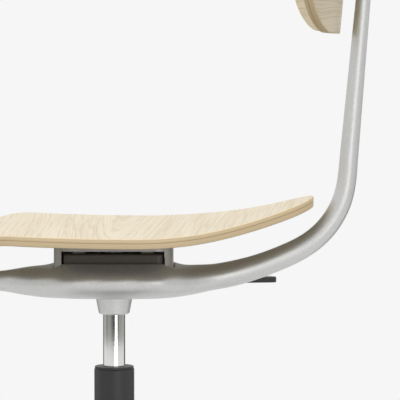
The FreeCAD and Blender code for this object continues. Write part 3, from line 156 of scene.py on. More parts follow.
def bump(tree, shader, height, distance):
    """Turns a height times a distance in metres into the shader's normal."""
    made = add_node(tree, "Bump", {"Height": height, "Distance": distance, "Strength": 1.0})
    tree.links.new(made.outputs["Normal"], shader.inputs["Normal"])


print("pattern helpers ready")

# %% [markdown]
# A finish that several pieces share, such as wood figure or the skin of a casting, becomes a node group
# with named sockets. It is built once, and each material places it with its own values. The shader itself
# stays in the material.

# %% Helpers for groups and finishes
def new_group(name, inputs, outputs):
    """A node group with named sockets; returns the tree and the sockets of its two ends."""
    tree = bpy.data.node_groups.new(name, "ShaderNodeTree")
    for label, kind, start in inputs:
        socket = tree.interface.new_socket(label, in_out="INPUT", socket_type="NodeSocket" + kind)
        if start is not None:
            socket.default_value = start
    for label, kind in outputs:
        tree.interface.new_socket(label, in_out="OUTPUT", socket_type="NodeSocket" + kind)
    return tree, tree.nodes.new("NodeGroupInput").outputs, tree.nodes.new("NodeGroupOutput").inputs


def new_finish(name, **settings):
    """A material with one Principled shader whose plain values are set."""
    material = bpy.data.materials.new(name)
    material.use_nodes = True
    shader = material.node_tree.nodes["Principled BSDF"]
    for label, value in settings.items():
        shader.inputs[label.replace("_", " ")].default_value = value
    return material, material.node_tree, shader


def use_group(tree, group, **values):
    """Places a shared group in a material with its own values."""
    made = tree.nodes.new("ShaderNodeGroup")
    made.node_tree = group
    for label, value in values.items():
        socket = made.inputs[label.replace("_", " ")]
        if isinstance(value, bpy.types.NodeSocket):
            tree.links.new(value, socket)
        else:
            socket.default_value = (*value, 1.0) if socket.type == "RGBA" else value
    return made.outputs


print("group helpers ready")

# %% [markdown]
# The seat is pale, flat-cut veneer whose grain runs from side to side. Flat-cut veneer shows two things at
# once: fine streaks along the grain, and wide nested arches where the knife cuts the growth rings at a
# slant. A ring is a cone, so its cut is a hyperbola: the square root of distance squared plus depth
# squared, pushed along the grain. This cell makes the arches and turns them into coordinates that follow
# the grain.

# %% Wood figure group: arches
SWAY_WAVES, SWAY_REACH = (2.6, 22.0, 22.0), 0.014
HALVES_APART = 3.0

wood, wood_in, wood_out = new_group(
    "wood_figure",
    [
        ("Place", "Vector", None), ("Arch Middle", "Float", 0.0), ("Arch Depth", "Float", 0.035),
        ("Arch Slant", "Float", 0.06), ("Grain Lean", "Float", 0.03), ("Pale", "Color", None),
        ("Deep", "Color", None),
    ],
    [("Color", "Color"), ("Roughness", "Float"), ("Height", "Float")],
)
along = add_node(wood, "SeparateXYZ", {0: wood_in["Place"]}).outputs
sway = noise(wood, stretched(wood, wood_in["Place"], SWAY_WAVES), detail=2.0)
across = sums(wood, "SUBTRACT", along["Y"], wood_in["Arch Middle"])
across = sums(wood, "MULTIPLY_ADD", along["X"], wood_in["Grain Lean"], across)
across = sums(wood, "MULTIPLY_ADD", swing(wood, sway), SWAY_REACH, across)
arch = sums(wood, "MULTIPLY_ADD", across, across, sums(wood, "POWER", wood_in["Arch Depth"], 2.0))
arch = sums(wood, "MULTIPLY_ADD", along["X"], wood_in["Arch Slant"], sums(wood, "SQRT", arch))
half = sums(wood, "MULTIPLY", sums(wood, "SIGN", across), HALVES_APART)
grain = add_node(wood, "CombineXYZ", {"X": along["X"], "Y": arch, "Z": half}).outputs[0]
print("arches:", len(wood.nodes), "nodes")

# %% [markdown]
# Along those coordinates lie the growth rings, the fine streaks, the wide bands and the pores. Each of them
# is noise with its own stretch, and each adds its share to one tone, which picks a colour between pale and
# deep.

# %% Wood figure group: rings, streaks, bands and pores
RING_WAVES, STREAK_WAVES = (1.9, 125.0, 1.0), (3.2, 480.0, 1.0)
BAND_WAVES, PORE_WAVES = (0.9, 30.0, 1.0), (14.0, 1500.0, 1.0)
RING_SHARE, STREAK_SHARE, BAND_SHARE, PORE_SHARE = 0.27, 0.25, 0.12, 0.14
LACQUER_ROUGHNESS, DEEP_ROUGHNESS = 0.38, 0.10
PORE_SINK, STREAK_RISE = -0.6, 0.4

ring = noise(wood, stretched(wood, grain, RING_WAVES), detail=2.0)
ring_edge = sums(wood, "ABSOLUTE", swing(wood, ring))
ring_tone = ramp(wood, ring_edge, [(0.0, 1.0), (0.015, 0.8), (0.06, 0.0)])
streak = noise(wood, stretched(wood, grain, STREAK_WAVES), detail=3.0, roughness=0.65)
streak_tone = ramp(wood, streak, [(0.46, 0.0), (0.66, 1.0)])
band = noise(wood, stretched(wood, grain, BAND_WAVES), detail=2.0)
band_tone = ramp(wood, band, [(0.3, 0.0), (0.7, 1.0)])
pore = noise(wood, stretched(wood, grain, PORE_WAVES), detail=2.0)
pore_tone = ramp(wood, pore, [(0.56, 0.0), (0.68, 1.0)])
wood_tone = sums(wood, "MULTIPLY", ring_tone, RING_SHARE)
wood_tone = sums(wood, "MULTIPLY_ADD", streak_tone, STREAK_SHARE, wood_tone)
wood_tone = sums(wood, "MULTIPLY_ADD", band_tone, BAND_SHARE, wood_tone)
wood_tone = sums(wood, "MULTIPLY_ADD", pore_tone, PORE_SHARE, wood_tone)
wood_roughness = sums(wood, "MULTIPLY_ADD", wood_tone, DEEP_ROUGHNESS, LACQUER_ROUGHNESS)
streak_height = sums(wood, "MULTIPLY", streak_tone, STREAK_RISE)
wood.links.new(mixed(wood, wood_tone, wood_in["Pale"], wood_in["Deep"]), wood_out["Color"])
wood.links.new(wood_roughness, wood_out["Roughness"])
wood.links.new(sums(wood, "MULTIPLY_ADD", pore_tone, PORE_SINK, streak_height), wood_out["Height"])
print("wood figure:", len(wood.nodes), "nodes")

# %% [markdown]
# Silver castings carry a thin satin paint. Under a lamp such a paint is never quite even: its gloss drifts
# in soft clouds, fine metal flakes sparkle, and the skin has a slight orange peel. The same group, with
# other values, also gives plated steel and moulded plastic their fine skin.

# %% Skin group for castings, plating and mouldings
CLOUD_WAVES, SMUDGE_WAVES = 14.0, 45.0
SMUDGE_TINT, SMUDGE_ROUGHNESS = 0.35, 0.03

skin, skin_in, skin_out = new_group(
    "fine_skin",
    [
        ("Place", "Vector", None), ("Tone", "Color", None), ("Worn Tone", "Color", None),
        ("Flake", "Float", 0.06), ("Flake Size", "Float", 2600.0), ("Gloss", "Float", 0.3),
        ("Gloss Drift", "Float", 0.08), ("Peel Size", "Float", 700.0),
    ],
    [("Color", "Color"), ("Roughness", "Float"), ("Height", "Float")],
)
cloud = noise(skin, skin_in["Place"], CLOUD_WAVES, detail=4.0, roughness=0.6)
flake = noise(skin, skin_in["Place"], skin_in["Flake Size"], detail=2.0)
peel = noise(skin, skin_in["Place"], skin_in["Peel Size"], detail=2.0)
wipe = noise(skin, skin_in["Place"], SMUDGE_WAVES, detail=3.0, roughness=0.65)
smudge = ramp(skin, wipe, [(0.50, 0.0), (0.78, 1.0)])
tint = mixed(skin, sums(skin, "MULTIPLY", smudge, SMUDGE_TINT), skin_in["Tone"], skin_in["Worn Tone"])
sparkle = sums(skin, "MULTIPLY_ADD", swing(skin, flake), skin_in["Flake"], 1.0)
grey = add_node(skin, "CombineColor", {0: sparkle, 1: sparkle, 2: sparkle}).outputs[0]
skin.links.new(mixed(skin, 1.0, tint, grey, "MULTIPLY"), skin_out["Color"])
drift = sums(skin, "MULTIPLY_ADD", swing(skin, cloud), skin_in["Gloss Drift"], skin_in["Gloss"])
skin.links.new(sums(skin, "MULTIPLY_ADD", smudge, SMUDGE_ROUGHNESS, drift), skin_out["Roughness"])
skin.links.new(peel, skin_out["Height"])
print("fine skin:", len(skin.nodes), "nodes")

# %% [markdown]
# Now the finishes themselves. The face veneer takes the wood group as it is, under a thin clear lacquer. On
# an upright sheet the grain still runs from side to side, so there the height takes the place of the depth.

# %% Face veneer
VENEER_PALE, VENEER_DEEP = (0.83, 0.725, 0.52), (0.50, 0.36, 0.19)
VENEER_RELIEF = 0.00006
SEAT_ARCHES, BACK_ARCHES = 0.006, 0.80


def veneer_finish(name, arch_middle, upright=False):
    """Clear-lacquered flat-cut veneer with its arches round one line, on a lying or an upright sheet."""
    material, tree, shader = new_finish(name, Coat_Weight=0.12, Coat_Roughness=0.25, Specular_IOR_Level=0.35)
    place = object_place(tree)
    if upright:
        axes = add_node(tree, "SeparateXYZ", {0: place}).outputs
        place = add_node(tree, "CombineXYZ", {"X": axes["X"], "Y": axes["Z"], "Z": axes["Y"]}).outputs[0]
    figure = use_group(
        tree, wood, Place=place, Arch_Middle=arch_middle, Arch_Depth=0.014, Arch_Slant=0.04,
        Grain_Lean=0.024, Pale=VENEER_PALE, Deep=VENEER_DEEP,
    )
    tree.links.new(figure["Color"], shader.inputs["Base Color"])
    tree.links.new(figure["Roughness"], shader.inputs["Roughness"])
    bump(tree, shader, figure["Height"], VENEER_RELIEF)
    return material


seat_veneer = veneer_finish("seat_veneer", SEAT_ARCHES)
back_veneer = veneer_finish("back_veneer", BACK_ARCHES, upright=True)
print("made", seat_veneer.name, back_veneer.name)

# %% [markdown]
# On the cut edge of plywood the layers show as thin bands, light where the fibres lie along the edge and
# darker where they are cut across, with one strong glue line between them. The depth below the face is
# stored on the mesh, so the bands follow every curve.

# %% Plywood edge
EDGE_PALE, EDGE_DEEP, GLUE_BROWN = (0.86, 0.685, 0.44), (0.76, 0.585, 0.35), (0.48, 0.33, 0.17)
WAVER_WAVES, WAVER_REACH = (60.0, 60.0, 60.0), 0.02
FIBRE_WAVES, FIBRE_RELIEF = (420.0, 420.0, 1500.0), 0.00012
LAYER_SHARE, FIBRE_SHARE, GLUE_SHARE = 0.5, 0.45, 0.8
SAWN_ROUGHNESS, FIBRE_ROUGHNESS = 0.42, 0.2
GLUE_DEPTH, SEAT_PLIES, BACK_PLIES = 0.43, 9, 7


def edge_finish(name, plies):
    """The cut edge of plywood: bands by depth, and one strong glue line."""
    material, tree, shader = new_finish(name, Specular_IOR_Level=0.3)
    place = object_place(tree)
    depth = add_node(tree, "Attribute", attribute_name="ply_depth").outputs["Fac"]
    waver = noise(tree, stretched(tree, place, WAVER_WAVES), detail=2.0)
    depth = sums(tree, "MULTIPLY_ADD", swing(tree, waver), WAVER_REACH, depth)
    layer = sums(tree, "PINGPONG", sums(tree, "MULTIPLY", depth, float(plies)), 1.0)
    layer_tone = ramp(tree, layer, [(0.25, 0.0), (0.75, 1.0)])
    line = sums(tree, "ABSOLUTE", sums(tree, "SUBTRACT", depth, GLUE_DEPTH))
    line_tone = ramp(tree, line, [(0.03, 1.0), (0.06, 0.0)])
    fibre = noise(tree, stretched(tree, place, FIBRE_WAVES), detail=3.0, roughness=0.7)
    fibre_tone = sums(tree, "MULTIPLY", fibre, FIBRE_SHARE)
    bands = sums(tree, "MULTIPLY_ADD", layer_tone, LAYER_SHARE, fibre_tone)
    bare = mixed(tree, bands, EDGE_PALE, EDGE_DEEP)
    glued = mixed(tree, sums(tree, "MULTIPLY", line_tone, GLUE_SHARE), bare, GLUE_BROWN)
    roughness = sums(tree, "MULTIPLY_ADD", fibre, FIBRE_ROUGHNESS, SAWN_ROUGHNESS)
    tree.links.new(glued, shader.inputs["Base Color"])
    tree.links.new(roughness, shader.inputs["Roughness"])
    bump(tree, shader, fibre, FIBRE_RELIEF)
    return material


seat_edge = edge_finish("seat_plywood_edge", SEAT_PLIES)
back_edge = edge_finish("back_plywood_edge", BACK_PLIES)
print("made", seat_edge.name, back_edge.name)

# %% [markdown]
# Metals, plastics and rubber all use the skin group. What differs is metalness, gloss and how coarse the
# skin is: paint has a fine peel, a bare casting is rougher, moulded plastic has an even, small grain.

# %% Finish maker for metals, plastics and rubber
def skin_finish(name, tone, worn, metallic, gloss, drift, flake, peel, relief, flake_size=2600.0):
    """A material whose colour, gloss and fine relief come from the skin group."""
    material, tree, shader = new_finish(name, Metallic=metallic)
    look = use_group(
        tree, skin, Place=object_place(tree), Tone=tone, Worn_Tone=worn, Flake=flake,
        Flake_Size=flake_size, Gloss=gloss, Gloss_Drift=drift, Peel_Size=peel,
    )
    tree.links.new(look["Color"], shader.inputs["Base Color"])
    tree.links.new(look["Roughness"], shader.inputs["Roughness"])
    bump(tree, shader, look["Height"], relief)
    return material


print("skin finish ready")

# %% [markdown]
# The spine, the base and the back carrier are castings under silver paint: a satin metal with a fine flake.
# The seat carrier is a bare casting, and the block under it a dark one. The column's tube is polished
# chrome, and screws, axles and pins are plated steel. A plain grey metal would do for each, but the drift of
# gloss and the fine relief are what make them look made.

# %% Metals
silver_paint = skin_finish(
    "silver_paint", tone=(0.625, 0.625, 0.615), worn=(0.58, 0.58, 0.57), metallic=0.94, gloss=0.46,
    drift=0.07, flake=0.34, peel=900.0, relief=0.00005, flake_size=620.0,
)
bare_casting = skin_finish(
    "bare_casting", tone=(0.37, 0.35, 0.325), worn=(0.29, 0.275, 0.25), metallic=0.7, gloss=0.42,
    drift=0.10, flake=0.20, peel=520.0, relief=0.00012, flake_size=1500.0,
)
dark_casting = skin_finish(
    "dark_casting", tone=(0.062, 0.053, 0.042), worn=(0.045, 0.039, 0.031), metallic=0.30, gloss=0.34,
    drift=0.10, flake=0.20, peel=480.0, relief=0.00008, flake_size=1500.0,
)
chrome_plate = skin_finish(
    "chrome_plate", tone=(0.76, 0.755, 0.745), worn=(0.70, 0.695, 0.68), metallic=1.0, gloss=0.06,
    drift=0.03, flake=0.02, peel=300.0, relief=0.000004,
)
plated_steel = skin_finish(
    "plated_steel", tone=(0.52, 0.52, 0.51), worn=(0.44, 0.43, 0.40), metallic=1.0, gloss=0.30,
    drift=0.10, flake=0.10, peel=700.0, relief=0.00002,
)
print("made", silver_paint.name, bare_casting.name, dark_casting.name, chrome_plate.name, plated_steel.name)

# %% [markdown]
# The standing tube and the lever have a black coat. Castors, guide bush and grip are moulded plastic, and the
# wheels are a greyer, duller one. Buffers, pads and the bush of the backrest are rubber, the dullest of all.
# None of them is pure black, because real black plastic still gives back about three parts in a hundred.

# %% Coats, plastics and rubber
black_coat = skin_finish(
    "black_coat", tone=(0.030, 0.030, 0.031), worn=(0.042, 0.041, 0.040), metallic=0.0, gloss=0.42,
    drift=0.08, flake=0.10, peel=850.0, relief=0.00008,
)
black_plastic = skin_finish(
    "black_plastic", tone=(0.030, 0.029, 0.028), worn=(0.045, 0.043, 0.041), metallic=0.0, gloss=0.46,
    drift=0.10, flake=0.05, peel=1300.0, relief=0.00010,
)
grey_tread = skin_finish(
    "grey_tread", tone=(0.075, 0.074, 0.073), worn=(0.115, 0.108, 0.098), metallic=0.0, gloss=0.62,
    drift=0.10, flake=0.06, peel=1100.0, relief=0.00010,
)
black_rubber = skin_finish(
    "black_rubber", tone=(0.028, 0.027, 0.026), worn=(0.05, 0.048, 0.045), metallic=0.0, gloss=0.70,
    drift=0.08, flake=0.05, peel=900.0, relief=0.00010,
)
grey_rubber = skin_finish(
    "grey_rubber", tone=(0.115, 0.108, 0.095), worn=(0.09, 0.085, 0.076), metallic=0.0, gloss=0.64,
    drift=0.08, flake=0.05, peel=900.0, relief=0.00010,
)
print("made", black_coat.name, black_plastic.name, grey_tread.name, black_rubber.name, grey_rubber.name)

# %% [markdown]
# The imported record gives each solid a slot, which says what it is made of. One table turns slots into
# finishes.

# %% Finishes on the solids
finish_of = {
    "seat_wood": seat_veneer, "back_wood": back_veneer, "spine_silver": silver_paint,
    "base_silver": silver_paint, "back_silver": silver_paint, "carrier_grey": bare_casting,
    "block_dark": dark_casting, "chrome_tube": chrome_plate, "column_black": black_coat,
    "bush_black": black_plastic, "valve_grey": plated_steel, "lever_black": black_coat,
    "grip_black": black_plastic, "castor_black": black_plastic, "wheel_black": grey_tread,
    "steel": plated_steel, "rubber_black": black_rubber, "rubber_grey": grey_rubber,
}
for name, solid in frame["nodes"].items():
    solid.data.materials.clear()
    solid.data.materials.append(finish_of[slot_of[name]])
print("finishes:", len(finish_of))

# %% [markdown]
# A moulded plywood shell is a bent sheet with a cut outline. It could be cut out of a solid with booleans,
# but then its edge would be a thin ring of slivers. Here the outline is walked once, at even steps. Three
# helpers draw arcs, add points on long runs and find the inward direction at each point.

# %% Outline helpers
def arc(middle, radius, first, last, count):
    """Points on an arc in a plane, from one angle to another, in degrees."""
    turns = [radians(first + (last - first) * step / count) for step in range(count + 1)]
    return [(middle[0] + radius * cos(a), middle[1] + radius * sin(a)) for a in turns]


SAME_PLACE = 1e-7


def evenly(points, gap, closed=True):
    """An outline with extra points, so that no step is much longer than gap."""
    row = [] if closed else points[-1:]
    for (u, v), (u2, v2) in zip(points, points[1:] + (points[:1] if closed else [])):
        reach = sqrt((u2 - u) ** 2 + (v2 - v) ** 2)
        steps = max(1, round(reach / gap))
        if reach > SAME_PLACE:
            row += [(u + (u2 - u) * k / steps, v + (v2 - v) * k / steps) for k in range(steps)]
    return row if closed else row[1:] + row[:1]


def inward(points):
    """The inward unit normal at each point of an outline that runs anticlockwise."""
    normals = []
    for before, after in zip(points[-1:] + points[:-1], points[1:] + points[:1]):
        run = Vector((after[0] - before[0], after[1] - before[1])).normalized()
        normals.append((-run.y, run.x))
    return normals


print("outline helpers ready")

# %% [markdown]
# Each point of the outline becomes a row that runs from the middle of the top face over a rounded edge to
# the middle of the lower face. The row keeps the depth below the face, which the edge finish needs.

# %% Plywood shell maker
EDGE_STEPS = 4
FACE_RINGS = (0.97, 0.93, 0.86, 0.76, 0.64, 0.5, 0.35, 0.18)


def plywood_shell(name, outline, middle, bend, thickness, rounding, face, edge):
    """A bent sheet: bend(u, v, depth) gives the point at a depth below the front face."""
    normals = inward(outline)
    turn = [radians(90.0 * step / EDGE_STEPS) for step in range(EDGE_STEPS + 1)]
    rim = [(rounding * (1 - sin(a)), rounding * (1 - cos(a))) for a in turn]
    rim += [(inset, thickness - depth) for inset, depth in reversed(rim)]
    mesh = bmesh.new()
    depth_layer = mesh.verts.layers.float.new("ply_depth")

    def point(u, v, depth):
        vertex = mesh.verts.new(bend(u, v, depth))
        vertex[depth_layer] = depth / thickness
        return vertex

    def face_row(share, depth):
        return [point(middle[0] + (u - middle[0]) * share, middle[1] + (v - middle[1]) * share, depth)
                for u, v in outline]

    rows = [face_row(share, 0.0) for share in reversed(FACE_RINGS)]
    for inset, depth in rim:
        rows.append([point(u + n[0] * inset, v + n[1] * inset, depth) for (u, v), n in zip(outline, normals)])
    rows += [face_row(share, thickness) for share in FACE_RINGS]
    first_rim = len(FACE_RINGS)
    last_rim = first_rim + len(rim) - 1
    for index, (upper, lower) in enumerate(zip(rows, rows[1:])):
        for k in range(len(outline)):
            quad = mesh.faces.new((upper[k - 1], lower[k - 1], lower[k], upper[k]))
            quad.material_index = 1 if first_rim <= index < last_rim else 0
    for row, depth in ((rows[0], 0.0), (rows[-1], thickness)):
        hub = point(middle[0], middle[1], depth)
        for k in range(len(outline)):
            mesh.faces.new((hub, row[k - 1], row[k]) if depth == 0.0 else (hub, row[k], row[k - 1]))
    bmesh.ops.recalc_face_normals(mesh, faces=mesh.faces)
    for polygon in mesh.faces:
        polygon.smooth = True
    data = bpy.data.meshes.new(name)
    mesh.to_mesh(data)
    mesh.free()
    data.materials.append(face)
    data.materials.append(edge)
    shell = bpy.data.objects.new(name, data)
    bpy.context.scene.collection.objects.link(shell)
    return shell


print("shell maker ready")

# %% [markdown]
# Seen from the side, the seat is lowest a little behind the column, rises to the rear on one wide arc,
# stays nearly flat towards the front and rolls over at the front edge. This cell bends the sheet that way:
# run is the length along the sheet, and the bend turns it into a place.

# %% Seat bend
SEAT_TOP, SEAT_PLY, SEAT_LOW = 470 * MM, 12 * MM, 35 * MM
REAR_RADIUS, FRONT_RADIUS, FRONT_REACH = 606 * MM, 2904 * MM, 150 * MM
FALL_RADIUS, FALL_ANGLE = 110 * MM, radians(35)
lift = asin(FRONT_REACH / FRONT_RADIUS)
flat_run = FRONT_RADIUS * lift
fall_run = FALL_RADIUS * (FALL_ANGLE + lift)
fall_y = SEAT_LOW - FRONT_REACH - FALL_RADIUS * sin(lift)
fall_z = SEAT_TOP + FRONT_RADIUS * (1 - cos(lift)) - FALL_RADIUS * cos(lift)


def seat_bend(x, run, depth):
    """A point of the seat: run is the length along the sheet behind (+) or before (-) the lowest line."""
    if run >= 0:
        turn = run / REAR_RADIUS
        y, z = SEAT_LOW + REAR_RADIUS * sin(turn), SEAT_TOP + REAR_RADIUS * (1 - cos(turn))
        return Vector((x, y, z - depth / cos(turn)))
    if -run <= flat_run:
        turn = -run / FRONT_RADIUS
        reach = FRONT_RADIUS + depth
        return Vector((x, SEAT_LOW - reach * sin(turn), SEAT_TOP + FRONT_RADIUS - reach * cos(turn)))
    turn = (-run - flat_run) / FALL_RADIUS - lift
    reach = FALL_RADIUS - depth
    return Vector((x, fall_y - reach * sin(turn), fall_z + reach * cos(turn)))


def rear_run(y):
    """The length along the sheet for a place behind the lowest line, or on the flat in front of it."""
    return REAR_RADIUS * asin((y - SEAT_LOW) / REAR_RADIUS) if y > SEAT_LOW else y - SEAT_LOW


print("flat run", round(flat_run / MM, 1), "mm, front fall", round(fall_run / MM, 1), "mm")

# %% [markdown]
# Seen from above, the seat is as wide as the sitter in front and narrows to a rounded tip at the rear. The
# rear half is drawn in plan and laid on the sheet; the front corners are drawn on the sheet itself.

# %% Seat shell
SEAT_HALF, SHOULDER_Y, SHOULDER_RADIUS = 210 * MM, 25 * MM, 150 * MM
FLANK_DEGREES, TIP_RADIUS, FRONT_CORNER = 45, 118 * MM, 84 * MM
CORNER_STEPS, TIP_STEPS, OUTLINE_GAP = 24, 48, 5 * MM
SEAT_ROUNDING = 1.3 * MM
flank = radians(FLANK_DEGREES)
flank_x = SEAT_HALF - SHOULDER_RADIUS * (1 - cos(flank))
flank_y = SHOULDER_Y + SHOULDER_RADIUS * sin(flank)
tip_x = TIP_RADIUS * cos(flank)
tip_middle = flank_y + (flank_x - tip_x) * cos(flank) / sin(flank) - TIP_RADIUS * sin(flank)
front_middle = (SEAT_HALF - FRONT_CORNER, -flat_run - fall_run + FRONT_CORNER)
shoulder_x, far_flank = SEAT_HALF - SHOULDER_RADIUS, 180 - FLANK_DEGREES
plan = arc((shoulder_x, SHOULDER_Y), SHOULDER_RADIUS, 0, FLANK_DEGREES, CORNER_STEPS)
plan += arc((0, tip_middle), TIP_RADIUS, FLANK_DEGREES, far_flank, TIP_STEPS)
plan += arc((-shoulder_x, SHOULDER_Y), SHOULDER_RADIUS, far_flank, 180, CORNER_STEPS)
right_corner = arc(front_middle, FRONT_CORNER, -90, 0, CORNER_STEPS)
seat_outline = [(-u, v) for u, v in reversed(right_corner)] + right_corner
seat_outline += [(u, rear_run(v)) for u, v in evenly(plan, OUTLINE_GAP, closed=False)]
seat_shell = plywood_shell(
    "seat_plywood", evenly(seat_outline, OUTLINE_GAP), (0, 0), seat_bend, SEAT_PLY, SEAT_ROUNDING,
    seat_veneer, seat_edge,
)
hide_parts("seat_shell")
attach(seat_shell, "seat")
print("seat plywood:", len(seat_shell.data.polygons), "faces")

# %% [markdown]
# The backrest is a second, simpler sheet: one bend round an upright axis, and a rounded rectangle as its
# outline. It stands square on the leaning upright, so its points are worked out upright and then leaned.

# %% Back shell
BACK_PIVOT, BACK_LEAN = Vector((0, 313.474 * MM, 799.866 * MM)), radians(-5)
BACK_PLY, BACK_RADIUS, BACK_FACE, BACK_ROUNDING = 10 * MM, 390 * MM, 25 * MM, 1.2 * MM
BACK_HALF, BACK_BELOW, BACK_ABOVE, BACK_CORNER = 195 * MM, -92 * MM, 118 * MM, 88 * MM
leaned = Matrix.Translation(BACK_PIVOT) @ Matrix.Rotation(BACK_LEAN, 4, "X")


def back_bend(x, z, depth):
    """A point of the back, with depth measured from the face that the sitter leans on."""
    reach = BACK_RADIUS - BACK_PLY + depth
    return leaned @ Vector((x, sqrt(reach * reach - x * x) - BACK_RADIUS - BACK_FACE, z))


low_corner, high_corner = BACK_BELOW + BACK_CORNER, BACK_ABOVE - BACK_CORNER
back_corners = ((1, low_corner, -90), (1, high_corner, 0), (-1, high_corner, 90), (-1, low_corner, 180))
back_outline = []
for hand, level, start in back_corners:
    corner_middle = (hand * (BACK_HALF - BACK_CORNER), level)
    back_outline += arc(corner_middle, BACK_CORNER, start, start + 90, CORNER_STEPS)
back_shell = plywood_shell(
    "back_plywood", evenly(back_outline, OUTLINE_GAP), (0, (BACK_ABOVE + BACK_BELOW) / 2), back_bend,
    BACK_PLY, BACK_ROUNDING, back_veneer, back_edge,
)
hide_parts("back_shell")
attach(back_shell, "back")
print("back plywood:", len(back_shell.data.polygons), "faces")

# %% [markdown]
# The spine and the base are castings. A casting has no knife edges: every inner corner is filled by a
# fillet, and every outer corner is rounded by the mould. Drawing all those fillets by hand is slow. A voxel
# remesh of the solid followed by a little smoothing does the same, because smoothing fills the hollows and
# rounds the ridges. The solid itself stays as it is, and the smoothed copy stands for it.

# %% Casting maker
WELD_GAP = 0.00001
EASE_FACTOR, FILLET_PASSES = 0.5, 12


def trim_below(data, level):
    """Cuts a mesh off flat at a level and closes it there, but for the bores."""
    mesh = bmesh.new()
    mesh.from_mesh(data)
    bmesh.ops.remove_doubles(mesh, verts=mesh.verts, dist=WELD_GAP)
    made = bmesh.ops.bisect_plane(
        mesh, geom=mesh.verts[:] + mesh.edges[:] + mesh.faces[:], plane_co=(0, 0, level), plane_no=(0, 0, 1),
        clear_inner=True,
    )
    rim = [part for part in made["geom_cut"] if isinstance(part, bmesh.types.BMEdge)]
    bmesh.ops.triangle_fill(mesh, use_beauty=True, edges=rim)
    mesh.to_mesh(data)
    mesh.free()


def settle(piece):
    """Applies a piece's modifiers to its mesh."""
    graph = bpy.context.evaluated_depsgraph_get()
    settled = bpy.data.meshes.new_from_object(piece.evaluated_get(graph))
    piece.modifiers.clear()
    worn_out, piece.data = piece.data, settled
    bpy.data.meshes.remove(worn_out)
    settled.name = piece.name


def cast_copy(node, name, body, voxel, cut_below=None):
    """A remeshed and smoothed copy of a solid, which stands for it."""
    data = frame["nodes"][node].data.copy()
    data.name = name
    piece = bpy.data.objects.new(name, data)
    bpy.context.scene.collection.objects.link(piece)
    remesh = piece.modifiers.new("mould", "REMESH")
    remesh.mode, remesh.voxel_size, remesh.use_smooth_shade = "VOXEL", voxel, True
    ease = piece.modifiers.new("fillets", "SMOOTH")
    ease.factor, ease.iterations = EASE_FACTOR, FILLET_PASSES
    if cut_below:
        trim_below(data, cut_below)
    settle(piece)
    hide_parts(node)
    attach(piece, body)
    print(name, len(piece.data.polygons), "faces")
    return piece


BELLY_BOTTOM, SPINE_VOXEL, BASE_VOXEL = 379.4 * MM, 1.4 * MM, 1.8 * MM
spine = cast_copy("spine", "spine_casting", "upper", SPINE_VOXEL, BELLY_BOTTOM)
cast_copy("base_star", "base_casting", "base", BASE_VOXEL)

# %% [markdown]
# The saddle of the spine is the chair's most sculpted piece, and it needs a hand that a plain fillet lacks.
# Two strokes move its points: the ends of its rim are drawn down, so that they run out into the tube under
# the carrier's legs, and its widest line and its underside are raised a little, which makes the flank
# rounder. All strokes fade in and out, so none leaves a step.

# %% Strokes on the saddle
RIM_TOP, END_TOP = 428.5 * MM, 421.0 * MM
END_FROM, END_DOWN, END_CLIMBS, END_TO = 64 * MM, 73 * MM, 94 * MM, 120 * MM
END_CLIMB, END_KEPT = 0.3, 0.2
BELLY_LINE, BELLY_SPAN, BELLY_LIFT, UNDERSIDE_LIFT = 404 * MM, 19 * MM, 3.4 * MM, 1.4 * MM
FLANK_OUT, FLANK_ALONG = (30 * MM, 55 * MM), (70 * MM, 112 * MM)
UNDER_HEIGHT, UNDER_FRONT, UNDER_REAR = (390 * MM, 402 * MM), (-86 * MM, -62 * MM), (122 * MM, 150 * MM)


def slope(value, low, high):
    """0 below low, 1 above high, and a straight rise between."""
    return min(1.0, max(0.0, (value - low) / (high - low)))


def fade(value, low, high):
    """1 below low, 0 above high, and a straight fall between."""
    return slope(-value, -high, -low)


def lower_ends(piece):
    """Draws the ends of the saddle's rim down."""
    for vertex in piece.data.vertices:
        reach = abs(vertex.co.y)
        limit = RIM_TOP + (END_TOP - RIM_TOP) * slope(reach, END_FROM, END_DOWN)
        limit += END_CLIMB * max(0.0, reach - END_CLIMBS)
        if END_FROM < reach < END_TO and vertex.co.z > limit:
            vertex.co.z = limit + END_KEPT * (vertex.co.z - limit)


def lift_belly(piece):
    """Raises the saddle's widest line and its underside."""
    for vertex in piece.data.vertices:
        x, y, z = vertex.co
        side_share = slope(abs(x), *FLANK_OUT) * fade(abs(y), *FLANK_ALONG)
        off = min(1.0, abs(z - BELLY_LINE) / BELLY_SPAN)
        under_share = fade(z, *UNDER_HEIGHT) * slope(y, *UNDER_FRONT) * fade(y, *UNDER_REAR)
        vertex.co.z = z + BELLY_LIFT * side_share * cos(off * pi / 2) ** 2 + UNDERSIDE_LIFT * under_share


print("rim ends drawn down by up to", round((RIM_TOP - END_TOP) / MM, 1), "mm")

# %% [markdown]
# Between the strokes the saddle is smoothed further, as a pattern maker sands a model: at the ends of the
# rim, round the widest line, and where it runs out into the nose in front. A weight on each point says how
# much.

# %% Sanding the saddle
ENDS_START, ENDS_STOP, ENDS_HEIGHT = (60 * MM, 72 * MM), (112 * MM, 135 * MM), (396 * MM, 404 * MM)
BELLY_ALONG, BELLY_HEIGHT = (95 * MM, 125 * MM), (418 * MM, 424 * MM)
NOSE_START, NOSE_TIP = (88 * MM, 116 * MM), (-168 * MM, -156 * MM)
ENDS_PASSES, BELLY_PASSES, NOSE_PASSES = 220, 110, 600


def ease_more(piece, share, passes):
    """Smooths a piece further where share(place) says so, from 0 for not at all to 1."""
    group = piece.vertex_groups.new(name="ease")
    for vertex in piece.data.vertices:
        weight = share(vertex.co)
        if weight > 0:
            group.add([vertex.index], weight, "REPLACE")
    ease = piece.modifiers.new("flow", "SMOOTH")
    ease.factor, ease.iterations, ease.vertex_group = EASE_FACTOR, passes, "ease"
    settle(piece)
    piece.vertex_groups.clear()


